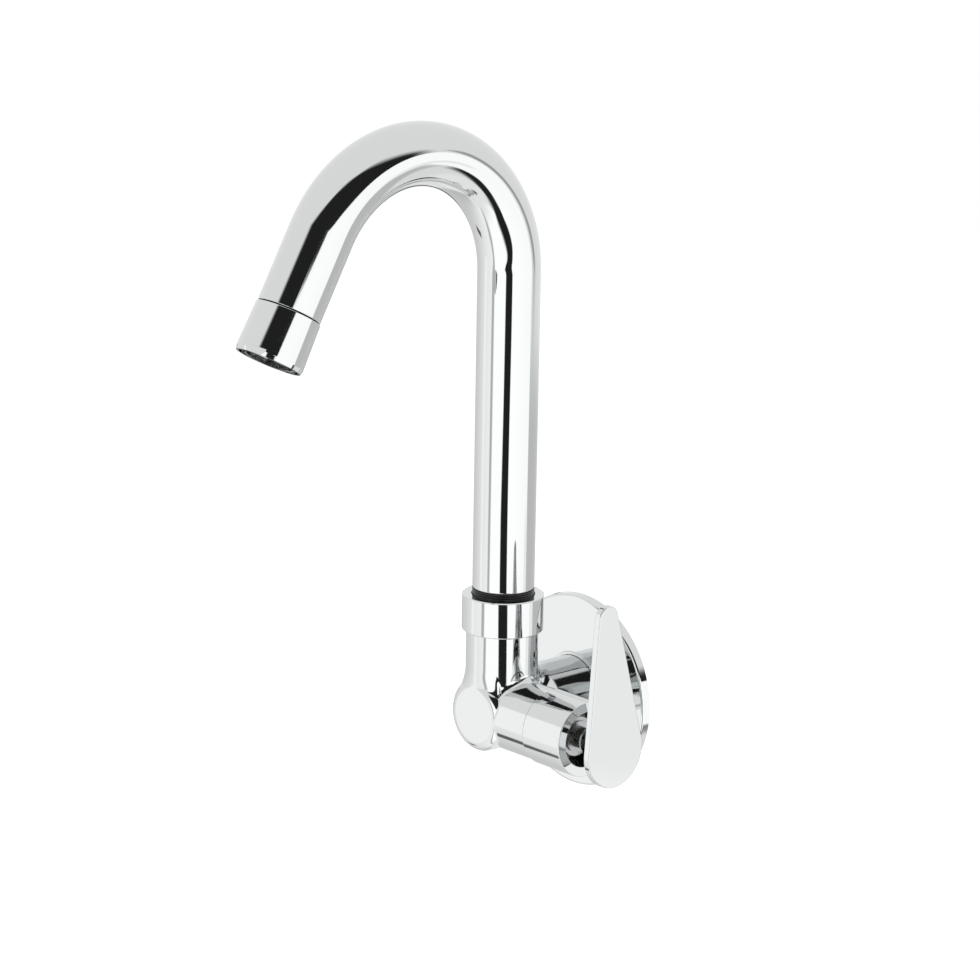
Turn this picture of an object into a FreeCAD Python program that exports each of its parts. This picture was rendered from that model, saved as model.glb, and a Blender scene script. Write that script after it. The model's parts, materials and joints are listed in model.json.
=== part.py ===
"""Wall-mounted swan-neck sink tap with a quarter-turn lever valve, built piece by piece.

Frame: millimetres, +Z up. The origin is where the inlet axis crosses the wall plane (y = 0). The tap comes
out of the wall along -Y, and its valve and lever are on the +X side. The riser, the valve and the inlet
share one crossing point in the body casting, riser_reach in front of the wall.
"""
import FreeCAD, Part
import math
import os

import Sketcher
from FreeCAD import Placement, Rotation, Vector

DOCUMENT = FreeCAD.newDocument("WallTap")

# alias, value in millimetres or degrees, what it is
DIMENSIONS = [
    ("riser_reach", 43.2, "wall plane to the riser axis and the valve axis"),
    ("riser_height", 33.0, "inlet axis to the shoulder under the collar nut"),
    ("arm_length", 27.9, "riser axis to the end face of the valve arm"),
    ("neck_radius", 13.2, "G 3/4 thread for the collar nut"),
    ("riser_shoulder", 0.9, "riser wider than its thread"),
    ("barrel_step", 0.4, "inlet barrel wider than the riser"),
    ("arm_step", 0.2, "valve arm slimmer than the inlet barrel"),
    ("nose_rounding", 4.0, "rounding of the front of the barrel"),
    ("riser_blend", 8.0, "fillet from the riser into the barrel"),
    ("shoulder_blend", 3.0, "fillet from the riser into the arm"),
    ("arm_blend", 1.5, "fillet from the arm into the barrel"),
    ("shank_radius", 10.48, "G 1/2 inlet thread"),
    ("shank_length", 16.0, "inlet thread, from the end of the barrel"),
    ("barrel_setback", 1.5, "end of the barrel in front of the wall plane"),
    ("inlet_bore", 6.5, "radius of the inlet waterway"),
    ("riser_bore", 11.2, "radius of the bore that takes the spout nipple"),
    ("riser_floor", 18.0, "inlet axis to the floor of the riser bore"),
    ("passage_bore", 3.8, "radius of the slanted way from the valve to the riser"),
    ("passage_foot", 13.0, "where the slanted way starts along the valve axis"),
    ("passage_rise", 6.0, "height at which the slanted way starts"),
    ("passage_slant", 30.0, "lean of the slanted way from upright"),
    ("seat_place", 5.0, "valve seat along the valve axis"),
    ("chamber_radius", 9.8, "valve chamber round the nose of the headwork"),
    ("chamber_end", 17.2, "end of the chamber and start of the headwork thread"),
    ("valve_thread", 10.48, "G 1/2 thread that takes the headwork"),
    ("flange_radius", 39.1, "outer radius of the wall flange at the wall"),
    ("flange_taper", 0.3, "skirt leans in by this much at the face"),
    ("flange_depth", 3.9, "wall plane to the face of the flange"),
    ("flange_wall", 0.9, "sheet thickness of the flange"),
    ("flange_lip", 1.1, "collar of the flange beyond its face"),
    ("flange_rounding", 1.0, "rounding of the flange rim"),
    ("flange_fit", 0.15, "clearance between flange and barrel"),
    ("collar_height", 14.3, "height of the collar nut"),
    ("collar_wall", 2.65, "collar nut outside its thread"),
    ("collar_lip", 1.3, "thickness of the collar nut's top"),
    ("collar_chamfer", 0.4, "chamfer of the collar nut's rims"),
    ("thread_fit", 0.05, "radial clearance of a screwed or brazed fit"),
    ("running_fit", 0.3, "radial clearance between parts that turn"),
    ("end_play", 0.1, "axial clearance between parts that turn, and seal clearance"),
    ("thrust_thickness", 1.0, "thrust washer"),
    ("nipple_shoulder", 1.8, "thickness of the nipple's shoulder"),
    ("nipple_depth", 15.0, "nipple below its shoulder"),
    ("nipple_spigot", 12.0, "nipple inside the pipe"),
    ("nipple_bore", 8.0, "radius of the nipple's waterway"),
    ("glide_flange", 1.1, "flange of the glide ring under the collar's top"),
    ("glide_show", 2.4, "glide ring that shows above the collar"),
    ("glide_proud", 0.1, "glide ring wider than the pipe"),
    ("spout_cord", 1.8, "section of the spout O-rings"),
    ("spout_ring_low", 4.0, "lower O-ring above the end of the nipple"),
    ("spout_ring_pitch", 6.0, "lower O-ring to upper O-ring"),
    ("groove_play", 0.4, "O-ring groove wider than its ring"),
    ("pipe_radius", 12.0, "outside radius of the spout pipe"),
    ("pipe_wall", 1.0, "wall of the spout pipe"),
    ("pipe_foot_rounding", 0.7, "rounding of the pipe's lower end"),
    ("riser_pipe", 124.5, "straight pipe from its foot to the bend"),
    ("bend_radius", 49.2, "centre-line radius of the swan neck"),
    ("bend_angle", 150.8, "angle that the swan neck turns through"),
    ("down_leg", 30.5, "straight pipe after the bend"),
    ("adaptor_spigot", 8.0, "outlet adaptor inside the pipe"),
    ("adaptor_thread", 7.0, "outlet adaptor beyond the pipe"),
    ("adaptor_bore", 9.2, "radius of the outlet adaptor's waterway"),
    ("housing_length", 19.65, "length of the aerator housing"),
    ("housing_step", 0.3, "housing wider than the pipe at the joint"),
    ("housing_flare", 0.55, "housing widens towards its lip"),
    ("housing_bevel", 1.6, "height of the bevel at the housing's lip"),
    ("housing_bevel_width", 0.4, "width of that bevel"),
    ("housing_ledge", 0.5, "ledge that carries the insert's flange"),
    ("mouth_wall", 0.95, "rim of the housing round its mouth"),
    ("mouth_depth", 2.4, "mouth of the housing, from its end to the insert"),
    ("flat_depth", 0.74, "depth of the spanner flats"),
    ("flat_height", 2.45, "height of the spanner flats"),
    ("flat_turn", 69.0, "where the first spanner flat faces"),
    ("gasket_thickness", 1.5, "rubber gasket of the aerator"),
    ("insert_flange", 1.0, "thickness of the insert's flange"),
    ("cell_radius", 1.4, "corner radius of a honeycomb cell"),
    ("cell_pitch", 2.9, "spacing of the honeycomb cells"),
    ("screen_radius", 9.0, "rim radius of the domed screen"),
    ("screen_rise", 1.8, "rise of the domed screen"),
    ("screen_sheet", 0.3, "thickness of the domed screen"),
    ("seat_seal_thickness", 1.2, "rubber seal under the ceramic discs"),
    ("seat_seal_bore", 5.6, "inner radius of that seal"),
    ("nose_bore", 7.6, "bore of the headwork's nose"),
    ("nose_wall", 1.2, "wall of the headwork's nose"),
    ("disc_thickness", 2.6, "each ceramic disc"),
    ("disc_play", 0.4, "moving disc slimmer than the bore of the nose"),
    ("port_radius", 5.6, "outer radius of the disc ports"),
    ("port_core", 1.7, "inner radius of the disc ports"),
    ("port_angle", 80.0, "angle of each disc port"),
    ("driver_grip", 0.8, "driver bar sunk in the moving disc"),
    ("driver_width", 4.6, "driver bar of the spindle"),
    ("driver_height", 3.2, "driver bar above the moving disc"),
    ("window_width", 6.0, "side windows of the headwork"),
    ("window_start", 12.2, "side windows, from the riser axis"),
    ("window_length", 3.6, "side windows, along the valve axis"),
    ("nose_depth", 18.0, "step in the bore that keeps the spindle in"),
    ("spindle_radius", 5.0, "spindle barrel"),
    ("spindle_neck", 3.4, "slim part of the spindle between driver and collar"),
    ("spindle_collar", 1.3, "thickness of the spindle's inner collar"),
    ("spindle_collar_width", 1.6, "that collar wider than the barrel"),
    ("spindle_cord", 1.5, "section of the spindle O-ring"),
    ("spindle_ring_place", 25.0, "spindle O-ring along the valve axis"),
    ("bonnet_thickness", 1.2, "seal between headwork and arm"),
    ("bonnet_width", 2.2, "bonnet seal across its ring"),
    ("bonnet_flange", 3.0, "threaded flange that carries the cover sleeve"),
    ("spanner_size", 20.0, "across the flats of the headwork's hexagon"),
    ("spanner_depth", 5.0, "length of the hexagon"),
    ("gland_radius", 7.8, "neck of the headwork"),
    ("gland_length", 4.9, "neck of the headwork beyond its hexagon"),
    ("stop_depth", 1.6, "depth of the stop recess"),
    ("stop_lug", 30.0, "angle of the stop washer's lug"),
    ("stop_play", 3.0, "free angle past each end of travel"),
    ("lever_travel", 90.0, "quarter turn of the lever"),
    ("stop_washer_thickness", 1.5, "stop washer"),
    ("journal_radius", 4.2, "spindle where washer and clip sit"),
    ("journal_land", 1.2, "journal beyond the clip, up to the splines"),
    ("clip_thickness", 0.8, "retaining clip"),
    ("clip_bite", 0.8, "depth of the clip's groove"),
    ("clip_width", 2.8, "clip from its groove outwards"),
    ("clip_gap", 70.0, "opening of the clip"),
    ("spline_tip", 3.9, "tip radius of the splines"),
    ("spline_root", 3.45, "root radius of the splines"),
    ("spline_bite", 8.8, "splines inside the lever's hub"),
    ("sleeve_proud", 0.55, "cover sleeve wider than the arm"),
    ("sleeve_wall", 1.35, "wall of the cover sleeve"),
    ("sleeve_length", 20.7, "cover sleeve along the valve axis"),
    ("sleeve_end_wall", 1.5, "end wall of the cover sleeve"),
    ("sleeve_opening", 10.9, "opening in the end of the cover sleeve"),
    ("sleeve_rounding", 0.4, "rounding of the sleeve's outer rim"),
    ("hub_gap", 0.6, "cover sleeve to the lever's hub"),
    ("hub_tip_radius", 4.9, "free end of the lever's hub"),
    ("hub_base_radius", 8.0, "hub where it meets the plate"),
    ("hub_length", 12.4, "length of the hub"),
    ("hub_bore_depth", 9.4, "depth of the splined bore in the hub"),
    ("hub_rounding", 0.5, "rounding of the hub's free end"),
    ("plate_thickness", 2.9, "lever plate"),
    ("plate_root_radius", 14.1, "round end of the lever over the hub"),
    ("plate_tip_radius", 4.8, "tip of the lever"),
    ("plate_span", 53.9, "between the centres of the lever's two ends"),
    ("plate_drop", 1.1, "root centre below the valve axis"),
    ("plate_lean", 5.6, "lever's lean to the front when closed"),
    ("plate_rounding", 0.45, "rounding of the plate's edges"),
    ("grub_radius", 1.9, "M4 grub screw"),
    ("grub_place", 7.0, "grub screw from the free end of the hub"),
    ("grub_key", 1.1, "corner radius of the grub screw's hexagon socket"),
    ("grub_key_depth", 1.0, "depth of that socket"),
]

SPLINE_TEETH = 20
WINDOW_COUNT = 3
HONEYCOMB_RINGS = 3
HEXAGON_SIDES = 6
FULL_TURN = 360

SAME_PLACE = 1e-4    # edges no further than this from where they are looked for
ON_SURFACE = 1e-3    # points no further than this from a surface lie on it
EXACT_DIGITS = 9     # keeps the sines of whole turns at exactly zero


class Size:
    """A size with its value now and the sheet expression that it is worked out by."""

    def __init__(self, value, text):
        self.value = value
        self.text = text

    def __add__(self, other):
        other = as_size(other)
        return Size(self.value + other.value, f"({self.text} + {other.text})")

    def __sub__(self, other):
        other = as_size(other)
        return Size(self.value - other.value, f"({self.text} - {other.text})")

    def __mul__(self, other):
        other = as_size(other)
        return Size(self.value * other.value, f"({self.text} * {other.text})")

    def __truediv__(self, other):
        other = as_size(other)
        return Size(self.value / other.value, f"({self.text} / {other.text})")

    def __rsub__(self, other):
        return as_size(other) - self

    def __neg__(self):
        return as_size(0) - self

    __radd__ = __add__
    __rmul__ = __mul__


def as_size(number):
    """A plain number as a Size; a Size stays what it is."""
    if isinstance(number, Size):
        return number
    return Size(float(number), f"({number:.9f})")


def cosine(angle):
    return Size(math.cos(math.radians(angle.value)), f"cos({angle.text})")


def sine(angle):
    return Size(math.sin(math.radians(angle.value)), f"sin({angle.text})")


def tangent(angle):
    return Size(math.tan(math.radians(angle.value)), f"tan({angle.text})")


def arcsine(ratio):
    return Size(math.degrees(math.asin(ratio.value)), f"asin({ratio.text})")


class Sizes:
    """The driving dimensions: a spreadsheet, with each alias readable here as a Size."""

    def __init__(self, rows):
        sheet = DOCUMENT.addObject("Spreadsheet::Sheet", "Sizes")
        for row, (alias, value, note) in enumerate(rows, start=1):
            sheet.set(f"A{row}", alias)
            sheet.set(f"B{row}", str(value))
            sheet.set(f"C{row}", note)
            sheet.setAlias(f"B{row}", alias)
            setattr(self, alias, Size(float(value), f"Sizes.{alias}"))


S = Sizes(DIMENSIONS)

# Sizes that follow from the driving dimensions
RISER_RADIUS = S.neck_radius + S.riser_shoulder
BARREL_RADIUS = RISER_RADIUS + S.barrel_step
ARM_RADIUS = BARREL_RADIUS - S.arm_step
NOSE_FRONT = S.riser_reach + BARREL_RADIUS

COLLAR_RADIUS = S.neck_radius + S.thread_fit + S.collar_wall
COLLAR_TOP = S.riser_height + S.collar_height
COLLAR_CEILING = COLLAR_TOP - S.collar_lip
GLIDE_BASE = COLLAR_CEILING - S.end_play - S.glide_flange
SHOULDER_BASE = GLIDE_BASE - S.nipple_shoulder
NECK_TOP = SHOULDER_BASE - S.thrust_thickness
PIPE_FOOT = COLLAR_TOP + S.glide_show
SHOULDER_RADIUS = S.neck_radius - S.running_fit
GLIDE_RADIUS = S.pipe_radius + S.glide_proud
PIPE_BORE = S.pipe_radius - S.pipe_wall
SPIGOT_RADIUS = PIPE_BORE - S.thread_fit
NIPPLE_RADIUS = S.riser_bore - S.running_fit
NIPPLE_END = SHOULDER_BASE - S.nipple_depth
SPOUT_RING_OUTER = S.riser_bore - S.end_play
SPOUT_GROOVE = SPOUT_RING_OUTER - S.spout_cord - S.thread_fit

ARCH_HEIGHT = PIPE_FOOT + S.riser_pipe
OUTLET_REACH = S.bend_radius * (1 - cosine(S.bend_angle)) + S.down_leg * sine(S.bend_angle)
OUTLET_HEIGHT = ARCH_HEIGHT + S.bend_radius * sine(S.bend_angle) + S.down_leg * cosine(S.bend_angle)

HOUSING_BORE = SPIGOT_RADIUS + S.thread_fit
HOUSING_TOP = S.pipe_radius + S.housing_step
HOUSING_LIP = HOUSING_TOP + S.housing_flare
GASKET_END = S.adaptor_thread + S.gasket_thickness
INSERT_LEDGE = GASKET_END + S.insert_flange
INSERT_BORE = HOUSING_BORE - S.housing_ledge
INSERT_END = S.housing_length - S.mouth_depth
MOUTH_RADIUS = HOUSING_LIP - S.housing_bevel_width - S.mouth_wall

NOSE_START = S.seat_place + S.seat_seal_thickness
NOSE_RADIUS = S.nose_bore + S.nose_wall
DISC_JOINT = NOSE_START + S.disc_thickness
DISC_TOP = DISC_JOINT + S.disc_thickness
MOVING_RADIUS = S.nose_bore - S.disc_play
DRIVER_BASE = DISC_TOP - S.driver_grip
DRIVER_TOP = DISC_TOP + S.driver_height
SPINDLE_BORE = S.spindle_radius + S.running_fit
SPINDLE_COLLAR_TOP = S.nose_depth - S.end_play
SPINDLE_COLLAR_BASE = SPINDLE_COLLAR_TOP - S.spindle_collar
SPINDLE_RING_OUTER = SPINDLE_BORE - S.end_play
SPINDLE_GROOVE = SPINDLE_RING_OUTER - S.spindle_cord - S.thread_fit
HEADWORK_THREAD = S.valve_thread - S.thread_fit
FLANGE_START = S.arm_length + S.bonnet_thickness
FLANGE_END = FLANGE_START + S.bonnet_flange
HEXAGON_END = FLANGE_END + S.spanner_depth
GLAND_END = HEXAGON_END + S.gland_length
WASHER_BASE = GLAND_END + S.end_play
WASHER_TOP = WASHER_BASE + S.stop_washer_thickness
CLIP_TOP = WASHER_TOP + S.clip_thickness
CLIP_BORE = S.journal_radius - S.clip_bite
STOP_OUTER = S.gland_radius - S.end_play

SLEEVE_RADIUS = ARM_RADIUS + S.sleeve_proud
SLEEVE_END = S.arm_length + S.sleeve_length
SLEEVE_BORE = SLEEVE_RADIUS - S.sleeve_wall
HUB_END = SLEEVE_END + S.hub_gap
PLATE_BACK = HUB_END + S.hub_length
SPINDLE_END = HUB_END + S.spline_bite
GRUB_HEIGHT = HUB_END + S.grub_place
GRUB_START = S.spline_tip + S.end_play


# Placing pieces

UPRIGHT = Rotation()
ALONG_VALVE = Rotation(Vector(0, 1, 0), 90)
ALONG_INLET = Rotation(Vector(1, 0, 0), 90)
UPSIDE_DOWN = Rotation(Vector(1, 0, 0), 180)


def place(item, x=0, y=0, z=0, rotation=UPRIGHT):
    """Puts an object's own origin at x, y, z, each a Size or a number."""
    item.Placement = Placement(Vector(*(as_size(part).value for part in (x, y, z))), rotation)
    for name, part in zip("xyz", (x, y, z)):
        if isinstance(part, Size):
            item.setExpression(f"Placement.Base.{name}", part.text)
    return item


def on_riser(item):
    return place(item, y=-S.riser_reach)


def on_valve(item):
    return place(item, y=-S.riser_reach, rotation=ALONG_VALVE)


def at_outlet(item):
    """Puts a piece's own +Z along the water, with its origin at the end of the pipe."""
    place(item, y=-(S.riser_reach + OUTLET_REACH), z=OUTLET_HEIGHT,
          rotation=Rotation(Vector(1, 0, 0), S.bend_angle.value))
    item.setExpression("Placement.Rotation.Angle", S.bend_angle.text)
    return item


# Part primitives bound to the sheet

def bind(item, **properties):
    """Sets properties to Sizes or numbers and keeps the Sizes bound to the sheet."""
    for name, size in properties.items():
        size = as_size(size)
        setattr(item, name, size.value)
        item.setExpression(name, size.text)
    return item


def cylinder(name, radius, height, **rest):
    return bind(DOCUMENT.addObject("Part::Cylinder", name), Radius=radius, Height=height, **rest)


def box(name, length, width, height):
    return bind(DOCUMENT.addObject("Part::Box", name), Length=length, Width=width, Height=height)


def prism(name, corner_radius, height):
    item = DOCUMENT.addObject("Part::Prism", name)
    item.Polygon = HEXAGON_SIDES
    return bind(item, Circumradius=corner_radius, Height=height)


def ring(label, centre_radius, cord_radius):
    item = bind(DOCUMENT.addObject("Part::Torus", label), Radius1=centre_radius, Radius2=cord_radius)
    item.Label = label
    return item


def fuse(label, shapes):
    item = DOCUMENT.addObject("Part::MultiFuse", label)
    item.Shapes = shapes
    item.Refine = True
    item.Label = label
    return item


def cut(label, base, tool):
    item = DOCUMENT.addObject("Part::Cut", label)
    item.Base = base
    item.Tool = tool
    item.Refine = True
    item.Label = label
    return item


def sector(name, inner, outer, base, height, start, sweep):
    """A piece of a ring, from one angle through a sweep."""
    whole = cylinder(f"{name}_outer", outer, height, Angle=sweep)
    core = cylinder(f"{name}_inner", inner, height)
    place(whole, z=base, rotation=Rotation(Vector(0, 0, 1), start.value))
    whole.setExpression("Placement.Rotation.Angle", start.text)
    place(core, z=base)
    return cut(name, whole, core)


# Bodies of sketches and features

def new_body(label):
    body = DOCUMENT.addObject("PartDesign::Body", label)
    body.Label = label
    return body


def new_sketch(body, name, plane, offset=None):
    """A sketch on one of the body's own origin planes, shifted along its normal by an offset."""
    sketch = body.newObject("Sketcher::SketchObject", name)
    support = next(item for item in body.Origin.OriginFeatures if item.Role == plane)
    sketch.AttachmentSupport = [(support, "")]
    sketch.MapMode = "FlatFace"
    if offset is not None:
        sketch.AttachmentOffset = Placement(Vector(0, 0, offset.value), Rotation())
        sketch.setExpression("AttachmentOffset.Base.z", offset.text)
    return sketch


def hold(sketch, kind, size, *where):
    """Adds a constraint whose value is bound to the sheet."""
    index = sketch.addConstraint(Sketcher.Constraint(kind, *where, size.value))
    sketch.setExpression(f"Constraints[{index}]", size.text)


def pin(sketch, geometry, point, x, y):
    """Holds a point of the sketch at x, y from the sketch's origin."""
    for kind, axis, size in (("DistanceX", -2, as_size(x)), ("DistanceY", -1, as_size(y))):
        if size.value == 0:
            sketch.addConstraint(Sketcher.Constraint("PointOnObject", geometry, point, axis))
        else:
            hold(sketch, kind, size, -1, 1, geometry, point)


def draw_outline(sketch, corners):
    """Draws a closed outline of straight lines through corners given as pairs of sizes."""
    points = [Vector(as_size(x).value, as_size(y).value, 0) for x, y in corners]
    count = len(points)
    for index in range(count):
        sketch.addGeometry(Part.LineSegment(points[index], points[(index + 1) % count]), False)
    for index in range(count):
        sketch.addConstraint(Sketcher.Constraint("Coincident", index, 2, (index + 1) % count, 1))
    for index, (x, y) in enumerate(corners):
        pin(sketch, index, 1, x, y)


def draw_circle(sketch, radius, x=0, y=0):
    """Draws a circle with a bound radius round x, y."""
    centre = Vector(as_size(x).value, as_size(y).value, 0)
    index = sketch.addGeometry(Part.Circle(centre, Vector(0, 0, 1), radius.value), False)
    if x == 0 and y == 0:
        sketch.addConstraint(Sketcher.Constraint("Coincident", index, 3, -1, 1))
    else:
        pin(sketch, index, 3, x, y)
    hold(sketch, "Radius", radius, index)


def turn(body, name, corners):
    """Revolves an outline of (radius, height) corners round the body's Z axis."""
    sketch = new_sketch(body, f"{name}_outline", "XZ_Plane")
    draw_outline(sketch, corners)
    feature = body.newObject("PartDesign::Revolution", name)
    feature.Profile = sketch
    feature.ReferenceAxis = (sketch, ["V_Axis"])
    feature.Angle = FULL_TURN
    return feature


def turned(label, corners):
    """A body that is one turned piece."""
    body = new_body(label)
    turn(body, f"{label}_turned", corners)
    return body


def tube_corners(inner, outer, start, end):
    """Corners of a plain ring for turned()."""
    return [(inner, start), (outer, start), (outer, end), (inner, end)]


def pad(body, sketch, name, length):
    feature = body.newObject("PartDesign::Pad", name)
    feature.Profile = sketch
    return bind(feature, Length=length)


def rim_names(shape, rims):
    """Names of the round edges about Z that lie at the given (radius, height) pairs."""
    names = []
    for number, edge in enumerate(shape.Edges, start=1):
        if not isinstance(edge.Curve, Part.Circle):
            continue
        for radius, height in rims:
            same_radius = abs(edge.Curve.Radius - as_size(radius).value) < SAME_PLACE
            if same_radius and abs(edge.Curve.Center.z - as_size(height).value) < SAME_PLACE:
                names.append(f"Edge{number}")
    return names


def dress_edges(body, kind, name, edge_names, **sizes):
    """Adds a fillet or chamfer to named edges of the body's last feature."""
    base = body.Tip
    feature = body.newObject(f"PartDesign::{kind}", name)
    feature.Base = (base, edge_names)
    return bind(feature, **sizes)


def dress_rims(body, kind, name, rims, **sizes):
    DOCUMENT.recompute()
    return dress_edges(body, kind, name, rim_names(body.Tip.Shape, rims), **sizes)


# The body casting

def lies_on_cylinder(edge, radius, distance):
    """Whether sampled points of an edge all lie at the radius from an axis."""
    steps = 6
    span = edge.LastParameter - edge.FirstParameter
    points = [edge.valueAt(edge.FirstParameter + span * step / steps) for step in range(steps + 1)]
    return all(abs(distance(point) - radius.value) < ON_SURFACE for point in points)


def casting_outside():
    """Inlet barrel, riser and valve arm run into one another with cast blends."""
    reach = S.riser_reach
    barrel = place(cylinder("barrel", BARREL_RADIUS, NOSE_FRONT - S.barrel_setback),
                   y=-S.barrel_setback, rotation=ALONG_INLET)
    riser = place(cylinder("riser", RISER_RADIUS, S.riser_height), y=-reach)
    arm = place(cylinder("arm", ARM_RADIUS, S.arm_length), y=-reach, rotation=ALONG_VALVE)
    DOCUMENT.recompute()
    nose = DOCUMENT.addObject("Part::Fillet", "nose")
    nose.Base = barrel
    rounding = S.nose_rounding.value
    nose.Edges = [(number, rounding, rounding) for number, edge in enumerate(barrel.Shape.Edges, start=1)
                  if edge.BoundBox.YMax < -reach.value]
    crossing = fuse("crossing", [nose, riser, arm])
    DOCUMENT.recompute()

    def from_riser_axis(point):
        return math.hypot(point.x, point.y + reach.value)

    def from_valve_axis(point):
        return math.hypot(point.y + reach.value, point.z)

    blends = []
    for number, edge in enumerate(crossing.Shape.Edges, start=1):
        if isinstance(edge.Curve, (Part.Circle, Part.Line)):
            continue
        on_the_riser = lies_on_cylinder(edge, RISER_RADIUS, from_riser_axis)
        on_the_arm = lies_on_cylinder(edge, ARM_RADIUS, from_valve_axis)
        blend = S.arm_blend
        if on_the_riser:
            blend = S.shoulder_blend if on_the_arm else S.riser_blend
        blends.append((number, blend.value, blend.value))
    blended = DOCUMENT.addObject("Part::Fillet", "blended")
    blended.Base = crossing
    blended.Edges = blends
    neck = place(cylinder("neck", S.neck_radius, NECK_TOP), y=-reach)
    shank = place(cylinder("shank", S.shank_radius, S.shank_length + S.nose_rounding),
                  y=-(S.barrel_setback + S.nose_rounding), rotation=Rotation(Vector(1, 0, 0), -90))
    return fuse("casting_outside", [blended, neck, shank])


def casting_waterways():
    """Inlet, seat port, valve chamber, slanted passage and riser bore."""
    reach = S.riser_reach
    wall_end = S.shank_length - S.barrel_setback
    inlet = place(cylinder("inlet_way", S.inlet_bore, reach + wall_end), y=wall_end, rotation=ALONG_INLET)
    port = place(cylinder("seat_port", S.seat_seal_bore, S.seat_place), y=-reach, rotation=ALONG_VALVE)
    chamber = place(cylinder("chamber", S.chamber_radius, S.chamber_end - S.seat_place),
                    x=S.seat_place, y=-reach, rotation=ALONG_VALVE)
    thread = place(cylinder("valve_thread_bore", S.valve_thread, S.arm_length - S.chamber_end),
                   x=S.chamber_end, y=-reach, rotation=ALONG_VALVE)
    bore = place(cylinder("riser_way", S.riser_bore, NECK_TOP - S.riser_floor), y=-reach, z=S.riser_floor)
    passage_length = (S.riser_floor - S.passage_rise) / cosine(S.passage_slant) \
        + S.passage_bore * tangent(S.passage_slant)
    passage = place(cylinder("passage", S.passage_bore, passage_length), x=S.passage_foot, y=-reach,
                    z=S.passage_rise, rotation=Rotation(Vector(0, -1, 0), S.passage_slant.value))
    passage.setExpression("Placement.Rotation.Angle", S.passage_slant.text)
    return fuse("waterways", [inlet, port, chamber, thread, bore, passage])


def body_casting():
    return cut("body_casting", casting_outside(), casting_waterways())


def wall_flange():
    """A pressed cup with an open back and a short collar round the barrel."""
    hole = BARREL_RADIUS + S.flange_fit
    lip = hole + S.flange_wall
    face = S.flange_depth
    face_radius = S.flange_radius - S.flange_taper
    back = face - S.flange_wall
    body = turned("wall_flange", [
        (hole, back), (face_radius - S.flange_wall, back), (S.flange_radius - S.flange_wall, 0),
        (S.flange_radius, 0), (face_radius, face), (lip, face), (lip, face + S.flange_lip),
        (hole, face + S.flange_lip)])
    dress_rims(body, "Fillet", "flange_rim", [(face_radius, face)], Radius=S.flange_rounding)
    return place(body, rotation=ALONG_INLET)


# The collar, the nipple and what lets the spout swivel

def collar_nut():
    bore = S.neck_radius + S.thread_fit
    opening = GLIDE_RADIUS + S.running_fit
    body = turned("collar_nut", [
        (bore, S.riser_height), (COLLAR_RADIUS, S.riser_height), (COLLAR_RADIUS, COLLAR_TOP),
        (opening, COLLAR_TOP), (opening, COLLAR_CEILING), (bore, COLLAR_CEILING)])
    dress_rims(body, "Chamfer", "collar_rims",
               [(COLLAR_RADIUS, S.riser_height), (COLLAR_RADIUS, COLLAR_TOP)], Size=S.collar_chamfer)
    return on_riser(body)


def thrust_washer():
    return on_riser(turned("thrust_washer",
                           tube_corners(S.riser_bore, SHOULDER_RADIUS, NECK_TOP, SHOULDER_BASE)))


def glide_ring():
    """Black ring between the collar's top and the foot of the pipe."""
    bore = SPIGOT_RADIUS + S.thread_fit
    flange_top = GLIDE_BASE + S.glide_flange
    return on_riser(turned("glide_ring", [
        (bore, GLIDE_BASE), (SHOULDER_RADIUS, GLIDE_BASE), (SHOULDER_RADIUS, flange_top),
        (GLIDE_RADIUS, flange_top), (GLIDE_RADIUS, PIPE_FOOT), (bore, PIPE_FOOT)]))


def groove_corners(wall, floor, centre, width):
    """Corners of a ring groove in a turned outline that runs upwards."""
    return [(wall, centre - width / 2), (floor, centre - width / 2), (floor, centre + width / 2),
            (wall, centre + width / 2)]


def spout_ring_heights():
    lower = NIPPLE_END + S.spout_ring_low
    return {"lower": lower, "upper": lower + S.spout_ring_pitch}


def spout_nipple():
    """Nipple brazed in the pipe, with a shoulder and two O-ring grooves."""
    corners = [(S.nipple_bore, NIPPLE_END), (NIPPLE_RADIUS, NIPPLE_END)]
    for height in spout_ring_heights().values():
        corners += groove_corners(NIPPLE_RADIUS, SPOUT_GROOVE, height, S.spout_cord + S.groove_play)
    corners += [(NIPPLE_RADIUS, SHOULDER_BASE), (SHOULDER_RADIUS, SHOULDER_BASE),
                (SHOULDER_RADIUS, GLIDE_BASE), (SPIGOT_RADIUS, GLIDE_BASE),
                (SPIGOT_RADIUS, PIPE_FOOT + S.nipple_spigot), (S.nipple_bore, PIPE_FOOT + S.nipple_spigot)]
    return on_riser(turned("spout_nipple", corners))


def spout_o_rings():
    cord = S.spout_cord / 2
    return [place(ring(f"spout_o_ring_{name}", SPOUT_RING_OUTER - cord, cord), y=-S.riser_reach, z=height)
            for name, height in spout_ring_heights().items()]


# The spout and its aerator

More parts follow.
